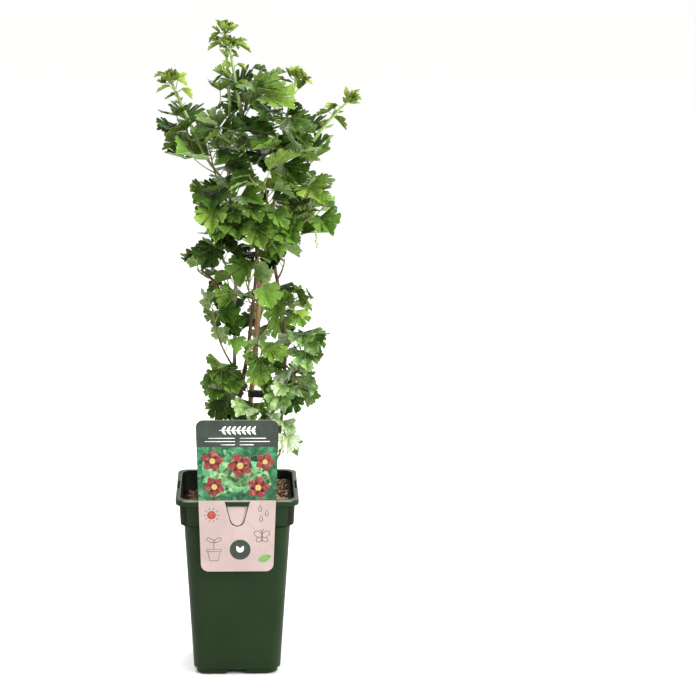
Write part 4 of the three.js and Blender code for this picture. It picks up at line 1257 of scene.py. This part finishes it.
def leafTissue(name, greens, vein, roughness, shine, depth):
    # living leaf: waxy skin over quilted tissue, with paler veins that fan out from the stalk.
    # the veins follow each blade by its own leafPlace attribute, in shares of its length
    material, tree, shader, place = startMaterial(name)
    leaf = addNode(tree, "ShaderNodeAttribute", attribute_name="leafPlace")
    parts = addNode(tree, "ShaderNodeSeparateXYZ", {"Vector": leaf.outputs["Vector"]})
    x, y, shade = parts.outputs
    turn = addNode(tree, "ShaderNodeMath", {0: y, 1: x}, operation="ARCTAN2")
    off = addNode(tree, "ShaderNodeMath", {0: turn, 1: blades["lobeTurn"] / 2},
                  operation="PINGPONG")
    far = addNode(tree, "ShaderNodeMath", {0: x, 1: x}, operation="MULTIPLY")
    wide = addNode(tree, "ShaderNodeMath", {0: y, 1: y, 2: far}, operation="MULTIPLY_ADD")
    reach = addNode(tree, "ShaderNodeMath", {0: wide}, operation="SQRT")
    beside = addNode(tree, "ShaderNodeMath", {0: reach, 1: off},
                     operation="MULTIPLY")
    mainVein = addNode(tree, "ShaderNodeMapRange", {
        "Value": beside, "From Min": 0.006, "From Max": 0.024, "To Min": 1.0, "To Max": 0.0})
    back = addNode(tree, "ShaderNodeMath", {0: beside, 1: -1.2, 2: reach},
                   operation="MULTIPLY_ADD")
    rib = addNode(tree, "ShaderNodeMath", {0: back, 1: 0.075}, operation="PINGPONG")
    sideVein = addNode(tree, "ShaderNodeMapRange", {
        "Value": rib, "From Min": 0.004, "From Max": 0.03, "To Min": 0.4, "To Max": 0.0})
    veins = addNode(tree, "ShaderNodeMath", {0: mainVein, 1: sideVein},
                    operation="MAXIMUM")
    cloud = addNode(tree, "ShaderNodeTexNoise", {"Vector": place, "Scale": perMm(7), "Detail": 5.0})
    own = addNode(tree, "ShaderNodeMath", {0: shade, 1: 0.8, 2: cloud},
                  operation="MULTIPLY_ADD")
    margin = addNode(tree, "ShaderNodeMath", {0: reach, 1: 0.5, 2: own},
                     operation="MULTIPLY_ADD")  # paler towards the margin than round the stalk
    mottle = addNode(tree, "ShaderNodeMapRange", {
        "Value": margin, "From Min": 0.72, "From Max": 1.66})
    tissue = addNode(tree, "ShaderNodeValToRGB", {"Fac": mottle},
                     [(step / (len(greens) - 1), green) for step, green in enumerate(greens)])
    faint = addNode(tree, "ShaderNodeMath", {0: veins, 1: 0.38}, operation="MULTIPLY")
    skin = addNode(tree, "ShaderNodeMix", {0: faint, 6: tissue,
                                           7: colour(vein)}, data_type="RGBA")
    gloss = addNode(tree, "ShaderNodeMapRange", {
        "Value": cloud, "To Min": roughness - 0.06, "To Max": roughness + 0.08})
    quilt = addNode(tree, "ShaderNodeTexNoise", {"Vector": place, "Scale": perMm(6), "Detail": 1.0})
    height = addNode(tree, "ShaderNodeMath", {0: quilt, 1: 6.0, 2: veins},
                     operation="MULTIPLY_ADD")
    relief = addNode(tree, "ShaderNodeBump",
                     {"Height": height, "Strength": 0.9, "Distance": depth * mm})
    setInputs(tree, shader, {
        "Base Color": skin, "Roughness": gloss,
        "Normal": relief, "IOR": 1.42, "Specular IOR Level": shine})
    return material


def joinLeaves(name, chosen, tops, unders, nodes):
    points, faces, kinds, marks = [], [], [], []
    for leaf in chosen:
        shapePoints, shapeFaces = bladeShapes[leaf["shape"]]
        start = len(points)
        points.extend(point * mm for point in leaf["points"])
        for mark in shapePoints:
            marks.extend((mark.x, mark.y, leaf["shade"]))
        for face, side in shapeFaces:
            faces.append([start + i for i in face])
            kinds.append(leaf["kinds"][side])
    mesh = bpy.data.meshes.new(name)
    mesh.from_pydata(points, [], faces)
    mesh.polygons.foreach_set("material_index", kinds)
    attribute = mesh.attributes.new("leafPlace", "FLOAT_VECTOR", "POINT")
    attribute.data.foreach_set("vector", marks)
    mesh.update()
    return addPiece(name, mesh, [*tops, *unders], nodes, 38)


def makeLeaves():
    topOf = {spray: tone for tone, names in sprayTones.items() for spray in names}
    topNames = ["deepLeaf", "midLeaf", "freshLeaf", "brightLeaf", "waxyLeafWithPaintedSheen"]
    underNames = ["paleUnderside", "oliveUnderside"]
    grown = [leaf for leaf in leaves if not leaf["spray"].startswith("shoot")]
    young = [leaf for leaf in leaves if leaf["spray"].startswith("shoot")]
    for number, leaf in enumerate(grown):
        draw = warmRandom(toneMix["seed"] + number)
        tone = topNames.index(topOf.get(leaf["spray"], "midLeaf"))
        chance = draw()
        if tone < 3 and chance < toneMix["lighterUnder"]:
            tone += 1
        elif 0 < tone < 4 and chance > toneMix["darkerOver"]:
            tone -= 1
        leaf["kinds"] = (tone, len(topNames) + (0 if draw() < toneMix["paleUnder"] else 1))
    for leaf in young:
        leaf["kinds"] = (0, 1)
    finish = {name: leafTissue(name, *leafTones[name], -0.35) for name in leafTones}
    finish.update({name: leafTissue(name, *underTones[name], 0.5) for name in underTones})
    masses = [name for name in sprayRows if not name.startswith("shoot")]
    tips = [name for name in sprayRows if name.startswith("shoot")]
    joinLeaves("leaves", grown, [finish[name] for name in topNames],
               [finish[name] for name in underNames], masses)
    joinLeaves("young_leaves", young, [finish["youngLeaf"]], [finish["youngUnderside"]],
               tips)


makeLeaves()
print("leaves:", len(leaves), "blades in all")


# bark and thorns on the limbs
limbFinish = {
    "ringEvery": 1.3,
    "bark": 0.35,              # how far the bark stands out of the solid limb
    "sides": 4,                # bevel detail: twelve sides
    "ridge": 0.16,
    "nodeEvery": 24,
    "nodeSwell": 0.3,
    "thornLength": (5, 9.5),
    "thornRadius": 0.6,
    "thornSeed": 7000,
}


def streakedSkin(name, dark, light, length, width, roughness, relief, greenFrom=900):
    # a skin of fibres that run with the stem, and still green above greenFrom millimetres
    material, tree, shader, place = startMaterial(name)
    stretched = addNode(tree, "ShaderNodeMapping", {
        "Vector": place, "Scale": (perMm(width), perMm(width), perMm(length))})
    streak = addNode(tree, "ShaderNodeTexNoise", {
        "Vector": stretched, "Scale": 1.0, "Detail": 6.0, "Roughness": 0.65})
    tint = addNode(tree, "ShaderNodeValToRGB", {"Fac": streak},
                   [(0.34, dark), (0.66, light)])
    fresh = addNode(tree, "ShaderNodeValToRGB", {"Fac": streak},
                    [(0.34, "#5c6e30"), (0.66, "#93a560")])
    height = addNode(tree, "ShaderNodeSeparateXYZ", {"Vector": place}).outputs["Z"]
    young = addNode(tree, "ShaderNodeMapRange", {
        "Value": height, "From Min": greenFrom * mm, "From Max": (greenFrom + 80) * mm})
    skin = addNode(tree, "ShaderNodeMix", {0: young, 6: tint,
                                           7: fresh}, data_type="RGBA")
    bump = addNode(tree, "ShaderNodeBump",
                   {"Height": streak, "Strength": 0.6, "Distance": relief * mm})
    setInputs(tree, shader, {"Base Color": skin, "Roughness": roughness,
                             "Normal": bump})
    return material


# each skin: dark and light, length and width of its fibres, roughness, how far they stand out,
# and for bark the height above which it is still green
skins = {
    "greyBark": ("#5b4a40", "#a8978a", 9, 1.1, 0.72, 0.4, 455),
    "tanBark": ("#8a6038", "#c49a66", 9, 1.1, 0.72, 0.4, 455),
    "redBark": ("#33211a", "#6b4637", 9, 1.1, 0.72, 0.4, 455),
    "thornWood": ("#5a3a28", "#a07a55", 3, 0.8, 0.6, 0.2),
    "greenTwigBark": ("#4b4a2a", "#7f7a4a", 5, 0.9, 0.62, 0.2),
    "softShootSkin": ("#7f9d48", "#b4c980", 6, 0.8, 0.5, 0.15),
    "leafStalkSkin": ("#5d7a34", "#93a95c", 5, 0.7, 0.5, 0.1),
    "youngStalkSkin": ("#86a544", "#b2ca70", 5, 0.7, 0.5, 0.1),
    "flowerBudSkin": ("#7d8f55", "#c4cc9a", 3, 1.5, 0.5, 0.1),
}


def makeLimbs():
    finish = limbFinish
    for name, limb in limbs.items():
        length = sum((pointOn(limb["points"], (i + 1) / 40) - pointOn(limb["points"], i / 40)).length
                     for i in range(40))
        rings = max(int(length / finish["ringEvery"]), 6)
        line = []
        for ring in range(rings + 1):
            at = ring / rings
            swell = math.cos(2 * math.pi * at * length / finish["nodeEvery"])
            radius = lerp(*limb["radii"], at) + finish["bark"]
            radius += finish["nodeSwell"] * max(swell, 0) ** 10
            line.append((pointOn(limb["points"], at), radius))
        mesh = tubeMesh(name + "_bark", [line], finish["sides"])
        for point in mesh.vertices:
            spot = Vector((point.co.x / 1.1, point.co.y / 1.1, point.co.z / 9)) / mm
            point.co += point.normal * (finish["ridge"] * noise.noise(spot) * mm)
        addPiece(name + "_bark", mesh, [finishes[limb["bark"]]],
                 [name], 40)


def makeThorns():
    finish = limbFinish
    lines = []
    for number, limb in enumerate(limbs.values()):
        length = (limb["points"][-1] - limb["points"][0]).length
        count = int(length / finish["nodeEvery"])
        for node in range(1, count):
            draw = warmRandom(finish["thornSeed"] + number * 60 + node)
            at = node / count
            along = tangentOn(limb["points"], at)
            side = turned(along.orthogonal().normalized(), along,
                          node * growth["leafSpiral"] + draw())
            base = pointOn(limb["points"], at) + side * (lerp(*limb["radii"], at) * 0.7)
            for spread in ((0,) if draw() < 0.5 else (-0.6, 0, 0.6)):
                way = (turned(side, along, spread) - along * 0.15 + up * 0.2).normalized()
                reach = lerp(*finish["thornLength"], draw()) * (1 if spread == 0 else 0.7)
                lines.append([
                    (base, finish["thornRadius"]),
                    (base + way * reach * 0.4, finish["thornRadius"] * 0.55),
                    (base + way * reach, 0.06)])
    addPiece("thorns", tubeMesh("thorns", lines, 0), [finishes["thornWood"]])


# thinner growth: lines, bevel detail, skin, slot, the angle that still looks smooth
thinGrowth = {
    "twigs": (twigLines["twigs"], 1, "greenTwigBark", "bough_bark", 60),
    "shoots": (twigLines["shoots"], 2, "softShootSkin", "shoot_green", 60),
    "leaf_stalks": (stalkLines["grown"], 0, "leafStalkSkin", "leaf_green", 80),
    "young_stalks": (stalkLines["young"], 0, "youngStalkSkin", "shoot_green", 80),
}

finishes = {name: streakedSkin(name, *skin) for name, skin in skins.items()}
makeLimbs()
makeThorns()
for name, (lines, detail, skin, slot, angle) in thinGrowth.items():
    addPiece(name, tubeMesh(name, lines, detail), [finishes[skin]], smoothAngle=angle)
addPiece("flower_buds", flowerBuds, [finishes["flowerBudSkin"]], smoothAngle=60)
print("wood:", len(limbs), "limbs with bark, thorns, twigs and leaf stalks")


# the band that ties the main stem to the right one
tie = {
    "level": 299,
    "width": 7,
    "thickness": 0.8,
    "slack": 0.6,
    "segments": 32,
    "edgeRound": 0.22,
}


def limbAtHeight(name, height):
    low, high = 0.0, 1.0
    for _ in range(30):
        middle = (low + high) / 2
        if pointOn(limbs[name]["points"], middle).z < height:
            low = middle
        else:
            high = middle
    return pointOn(limbs[name]["points"], low), lerp(*limbs[name]["radii"], low)


def tieRubber():  # moulded tree-tie rubber: near-black green, satin, faintly dusty
    return cloudedMaterial("mouldedTieRubber", {"Scale": perMm(3), "Detail": 5.0},
                           [(0.4, "#141d16"), (0.75, "#2a3a2c")], {"Roughness": 0.42},
                           relief=(0.3, 0.3))


def makeTie():
    (start, startRadius), (end, endRadius) = (
        limbAtHeight(name, tie["level"]) for name in ("stem_main", "stem_right"))
    start, end = start.xy, end.xy
    way = (end - start).normalized()
    bm = bmesh.new()
    bmesh.ops.create_circle(bm, segments=tie["segments"], radius=1)
    for point in bm.verts:
        toEnd = point.co.xy.dot(way) > 1e-3
        reach = (endRadius if toEnd else startRadius) + tie["slack"]
        place = (end if toEnd else start) + point.co.xy * reach
        point.co = Vector((*place, tie["level"] - tie["width"] / 2))
    edges = bm.edges[:]
    for _ in range(4):
        points, edges = extrudeRing(bm, edges)
        bmesh.ops.translate(bm, vec=(0, 0, tie["width"] / 4), verts=points)
    thicken(bm, -tie["thickness"])
    rims = [edge for edge in bm.edges if edge.calc_face_angle(0) > 1]
    bmesh.ops.bevel(bm, geom=rims, affect="EDGES", offset=tie["edgeRound"], segments=2,
                    profile=0.5, material=-1)
    addPiece("tie_band", meshFrom(bm, "tieBand"), [tieRubber()], ["stem_tie"], 40)


makeTie()
print("tie band round the two stems")


# the label card on the pot's rim
card = {
    "topWidth": 87,
    "footWidth": 76,
    "top": 287,
    "foot": 122,
    "thickness": 0.6,
    "corner": 8,
    "lean": 1.2,
    "faceAt": -65.3,           # its back, at the level of the pot's rim
    "headerFoot": 258,         # the picture lies under the header, and a plain panel under both
    "pictureFoot": 200,
    "windowHalf": 13.4,        # the window that the tongue was cut from
    "windowFootHalf": 6,
    "windowTop": 198.8,
    "windowFoot": 171.2,
    "tongueHalf": 12.6,
    "tongueThickness": 0.4,
    "print": 0.06,             # how far a printed shape stands proud
}


# each print: its tones, millimetres between the clouds of its ink, and the tones' places
prints = {
    "whiteCardBack": (("#efe9e4", "#f6f2ee"), 20),
    "darkHeaderPrint": (("#28322a", "#343f36"), 18, (0.35, 0.65)),
    "leafyPicturePrint": (("#0f3520", "#1d5a37", "#3c7f54", "#6d9a72"), 9, (0.3, 0.48, 0.62, 0.78)),
    "blushPanelPrint": (("#ae9994", "#b6a29d"), 26),
    "blushTonguePrint": (("#b29c96", "#baa59f"), 26),
    "forestLeafPrint": (("#144826", "#2f6e42"), 5),
    "mintLeafPrint": (("#4c9063", "#7fb48a"), 5),
    "limeLeafPrint": (("#4f8f56", "#93ba80"), 5),
    "redPetalPrint": (("#6d2222", "#893531", "#a9756d"), 4, (0.35, 0.55, 0.72)),
    "yellowHeartPrint": (("#b19545", "#c4b06c"), 2),
    "brownInkPrint": (("#2e2422", "#3d312e"), 3),
    "whiteRulePrint": (("#e9ece8", "#f6f7f5"), 3),
    "whiteSprigPrint": (("#e6ebe6", "#f5f7f4"), 3),
    "darkDiscPrint": (("#2b332d", "#343d36"), 10),
    "paleSproutPrint": (("#d9e2d2", "#eef2ea"), 3),
    "grassLeafPrint": (("#5d8f45", "#6f9e55"), 5),
    "coralSunPrint": (("#a03a30", "#b04a3c"), 3),
}


def filmPrint(name):  # litho print under clear film: even, glossy colour, a trace of its cloudy ink
    tones, clouds, *places = prints[name]
    stops = list(zip(places[0] if places else (0.4, 0.6), tones))
    return cloudedMaterial(name, {"Scale": perMm(clouds), "Detail": 3.0, "Distortion": 0.8}, stops,
                           {"Roughness": 0.34, "Specular IOR Level": 0.3, "Coat Weight": 0.08,
                            "Coat Roughness": 0.12})


def onCard(bm):  # from the card's own plane (across, height, out) to where it hangs
    bmesh.ops.translate(bm, vec=(0, 0, -pot["height"]), verts=bm.verts)
    bmesh.ops.rotate(bm, matrix=Matrix.Rotation(math.radians(card["lean"]), 3, "X"), verts=bm.verts)
    bmesh.ops.translate(bm, vec=(0, card["faceAt"], pot["height"]), verts=bm.verts)


def addPlate(bm, half, low, high, corners, depth, outwards):
    # a flat plate in the x-z plane: half widths at foot and top, round corners
    made = bmesh.ops.create_grid(bm, x_segments=1, y_segments=1, size=1)["verts"]
    for point in made:
        isTop = point.co.y > 0
        point.co = Vector((math.copysign(half[1] if isTop else half[0], point.co.x), 0,
                           high if isTop else low))
    ends = {False: [p for p in made if p.co.z < (low + high) / 2],
            True: [p for p in made if p.co.z > (low + high) / 2]}
    for isTop, radius in zip((False, True), corners):
        if radius:
            bmesh.ops.bevel(bm, geom=ends[isTop], affect="VERTICES", offset=radius, segments=8,
                            profile=0.5, material=-1)
    region = bmesh.ops.extrude_face_region(bm, geom=bm.faces[:])["geom"]
    bmesh.ops.translate(bm, vec=(0, depth * outwards, 0), verts=pointsOf(region))
    bmesh.ops.recalc_face_normals(bm, faces=bm.faces)


def makeCard():
    bm = bmesh.new()
    addPlate(bm, (card["footWidth"] / 2, card["topWidth"] / 2), card["foot"], card["top"],
             (card["corner"], card["corner"]), card["thickness"], -1)
    body = meshFrom(bm, "cardBody", 1)
    bm = bmesh.new()
    addPlate(bm, (card["windowFootHalf"], card["windowHalf"]), card["windowFoot"], card["windowTop"],
             (card["windowFootHalf"] * 0.96, 0), 4, -1)
    bmesh.ops.translate(bm, vec=(0, 2, 0), verts=bm.verts)
    sheet = cutAway(body, [meshFrom(bm, "windowCutter", 1)])
    bm = bmesh.new()
    bm.from_mesh(sheet)
    for level in (card["headerFoot"], card["pictureFoot"]):
        bmesh.ops.bisect_plane(bm, geom=bm.verts[:] + bm.edges[:] + bm.faces[:],
                               plane_co=(0, 0, level), plane_no=(0, 0, 1))
    for face in bm.faces:
        if face.normal.y < -0.9:
            height = face.calc_center_median().z
            face.material_index = 1 + (height < card["headerFoot"]) + (height < card["pictureFoot"])
    onCard(bm)
    materials = [filmPrint(name) for name in
                 ("whiteCardBack", "darkHeaderPrint", "leafyPicturePrint", "blushPanelPrint")]
    addPiece("label_card_sheet", meshFrom(bm, "cardSheet"), materials,
             ["label_card"], 30)


def makeTongue():
    top = pot["height"]
    slotAway = pot["slot"][2]
    fold = card["faceAt"] - card["thickness"] / 2
    rows = [  # y, z and share of the width, from the card back over the rim and down its slot
        (fold + 0.2, top + 2.4, 1), (fold + 0.26, top + 1.5, 1), (fold + 1, top + 0.8, 1),
        (-slotAway - 0.7, top + 0.75, 1), (-slotAway - 0.1, top - 0.3, 1), (-slotAway, top - 2, 1),
        (-slotAway - 0.3, top - 8, 0.85), (-slotAway - 0.6, 184, 0.7), (-slotAway - 0.7, 179, 0.585),
        (-slotAway - 0.8, 175, 0.45), (-slotAway - 0.9, 172.2, 0.17),
    ]
    bm = bmesh.new()
    bmesh.ops.create_grid(bm, x_segments=4, y_segments=len(rows) - 1, size=1)
    for point in bm.verts:
        y, z, share = rows[round((1 - point.co.y) / 2 * (len(rows) - 1))]
        point.co = Vector((point.co.x * card["tongueHalf"] * share, y, z))
    thicken(bm, card["tongueThickness"])
    addPiece("label_tongue", meshFrom(bm, "tongue"), [filmPrint("blushTonguePrint")],
             smoothAngle=30)


# printed motifs on the card's face
motifs = {
    "blossoms": [  # across, height, petal length, turn in degrees
        (-26, 243, 12, 10), (3, 238, 13.5, 40), (29, 242, 10.5, 65), (-24, 215, 11.5, 50),
        (22, 214, 12.5, 5)],
    "leafInks": ["forestLeafPrint", "mintLeafPrint", "limeLeafPrint"],
    "leavesPerInk": 28,
    "seed": 12,
    "sun": (-27, 184),
    "raindrops": [(24, 190), (31, 185), (25, 179)],
    "rules": [(267.5, (30, 21)), (264, (34, 27)), (260.5, (17, 12))],  # height, ends left and right
    "sprigHeight": 276,
    "inkRadius": 0.3,
    "ruleRadius": 0.45,
    "sprigRadius": 0.5,
}


def raiseShape(bm, points, at, depth):  # takes a flat shape to its place and makes it solid
    bmesh.ops.translate(bm, vec=(at[0], 0, at[1]), verts=points)
    lifted = bmesh.ops.extrude_face_region(bm, geom=points[0].link_faces[:])["geom"]
    bmesh.ops.translate(bm, vec=(0, -depth, 0), verts=pointsOf(lifted))


def addPetal(bm, at, reach, width, turn, depth):  # a flat pointed oval that starts at its place
    made = bmesh.ops.create_circle(bm, cap_ends=True, segments=14, radius=1)["verts"]
    for point in made:
        point.co.y *= 1 - 0.45 * max(point.co.x, 0)
        point.co = Vector(((point.co.x + 1) / 2 * reach, 0, point.co.y * width / 2))
    bmesh.ops.rotate(bm, matrix=Matrix.Rotation(-math.radians(turn), 3, "Y"), verts=made)
    raiseShape(bm, made, at, depth)


def addDisc(bm, at, radius, depth, segments=20):
    made = bmesh.ops.create_circle(bm, cap_ends=True, segments=segments, radius=radius)["verts"]
    bmesh.ops.rotate(bm, matrix=Matrix.Rotation(math.pi / 2, 3, "X"), verts=made)
    raiseShape(bm, made, at, depth)


def layPrint(name, bm, ink):
    bmesh.ops.recalc_face_normals(bm, faces=bm.faces)
    bmesh.ops.translate(bm, vec=(0, -card["thickness"] + 0.02, 0), verts=bm.verts)
    onCard(bm)
    addPiece(name, meshFrom(bm, name), [filmPrint(ink)])


def makePicture():
    step = card["print"]
    dice = random.Random(motifs["seed"])
    for layer, ink in enumerate(motifs["leafInks"]):
        bm = bmesh.new()
        for _ in range(motifs["leavesPerInk"]):
            reach = dice.uniform(12, 24)
            x = dice.uniform(-30, 30)
            z = dice.uniform(card["pictureFoot"] + 11, card["headerFoot"] - 11)
            turn = dice.uniform(0, 360)
            tipX, tipZ = math.cos(math.radians(turn)) * reach, math.sin(math.radians(turn)) * reach
            if abs(x + tipX) < 38 and card["pictureFoot"] + 2 < z + tipZ < card["headerFoot"] - 2:
                width = reach * dice.uniform(0.42, 0.6)
                addPetal(bm, (x, z), reach, width, turn, step * (2 + layer))
        layPrint("printed_" + ink, bm, ink)
    petals, hearts = bmesh.new(), bmesh.new()
    for x, z, radius, turn in motifs["blossoms"]:
        for petal in range(5):
            addPetal(petals, (x, z), radius, radius * 0.86, turn + 72 * petal, step * 6)
        addDisc(hearts, (x, z), radius * 0.26, step * 8)
    layPrint("printed_petals", petals, "redPetalPrint")
    layPrint("printed_hearts", hearts, "yellowHeartPrint")


def ovalLine(x, z, wide, high, turn=0, steps=24, start=0, span=360):
    points = []
    for step in range(steps + 1):
        angle = math.radians(start + span * step / steps)
        point = Vector((math.cos(angle) * wide, 0, math.sin(angle) * high))
        point.rotate(Matrix.Rotation(-math.radians(turn), 3, "Y"))
        points.append(Vector((x, 0, z)) + point)
    return points


def path(*spots):  # a line through places on the card (across, height)
    return [Vector((x, 0, z)) for x, z in spots]


def drawLines():  # line drawings in the lower panel
    middle, = path(motifs["sun"])
    lines = [ovalLine(*motifs["sun"], 4.2, 4.2)]
    for ray in range(10):
        angle = math.radians(36 * ray)
        way = Vector((math.cos(angle), 0, math.sin(angle)))
        lines.append([middle + way * 5.6, middle + way * 8.2])
    for x, z in motifs["raindrops"]:
        drop = ovalLine(x, z, 1.7, 2.0, steps=14, start=-200, span=220)
        lines.append(drop + path((x, z + 5)))
        lines[-1].append(lines[-1][0])
    for side in (-1, 1):  # a butterfly
        lines.append(ovalLine(26 + side * 4.2, 163, 4.4, 3.0, side * 35))
        lines.append(ovalLine(26 + side * 3.2, 157, 3.2, 2.3, -side * 30))
    lines += [path((26, 155), (26, 165), (24.4, 168.5)), path((26, 165), (27.6, 168.5))]
    lines += [  # a seedling in a pot
        path((-31, 144), (-29, 134), (-20, 134), (-18, 144), (-31, 144)),
        path((-32, 144), (-32, 146.5), (-17, 146.5), (-17, 144)),
        path((-24.5, 146.5), (-24.5, 155)),
        ovalLine(-28.4, 156.5, 4.2, 1.9, -28), ovalLine(-20.6, 156.5, 4.2, 1.9, 28)]
    return [[(point, motifs["inkRadius"]) for point in line] for line in lines]


def drawRules():  # thin rules in the header, and the stalk of its sprig
    rules = [(path((side * 2.5, z), (side * ends[0], z)), motifs["ruleRadius"])
             for z, ends in motifs["rules"] for side in (-1, 1)]
    rules.append((path((-19, motifs["sprigHeight"]), (19, motifs["sprigHeight"])),
                  motifs["sprigRadius"]))
    return [[(point, radius) for point in line] for line, radius in rules]


# flat shapes: ink, what adds one, and its rows (a petal's place, length, width, turn and depth,
# or a disc's place, radius, depth and sides)
flatShapes = {
    "printed_sprig": ("whiteSprigPrint", addPetal, [
        ((-16 + leaf * 5.2, motifs["sprigHeight"]), 6.2, 2.6, side * 48, 0.08)
        for leaf in range(7) for side in (-1, 1)]),
    "printed_disc": ("darkDiscPrint", addDisc, [((3, 146), 11, 0.07, 40)]),
    "printed_sprout": ("paleSproutPrint", addPetal, [
        ((3, 143), 8, 4.2, turn, 0.14) for turn in (62, 118)]),
    "printed_leaf": ("grassLeafPrint", addPetal, [((22, 134), 15, 8, 20, 0.07)]),
    "printed_sun": ("coralSunPrint", addDisc, [(motifs["sun"], 4.0, 0.07)]),
}


def makeDrawings():
    for name, lines, ink in (("printed_drawings", drawLines(), "brownInkPrint"),
                             ("printed_rules", drawRules(), "whiteRulePrint")):
        bm = bmesh.new()
        bm.from_mesh(tubeMesh(name, lines, 1))
        bmesh.ops.scale(bm, vec=(1 / mm, 1 / mm, 1 / mm), verts=bm.verts)
        bmesh.ops.scale(bm, vec=(1, 0.5, 1), verts=bm.verts)
        layPrint(name, bm, ink)
    for name, (ink, addShape, rows) in flatShapes.items():
        bm = bmesh.new()
        for row in rows:
            addShape(bm, *row)
        layPrint(name, bm, ink)


makeCard()
makeTongue()
makePicture()
makeDrawings()
print("label card: sheet, tongue and its plain printed motifs")
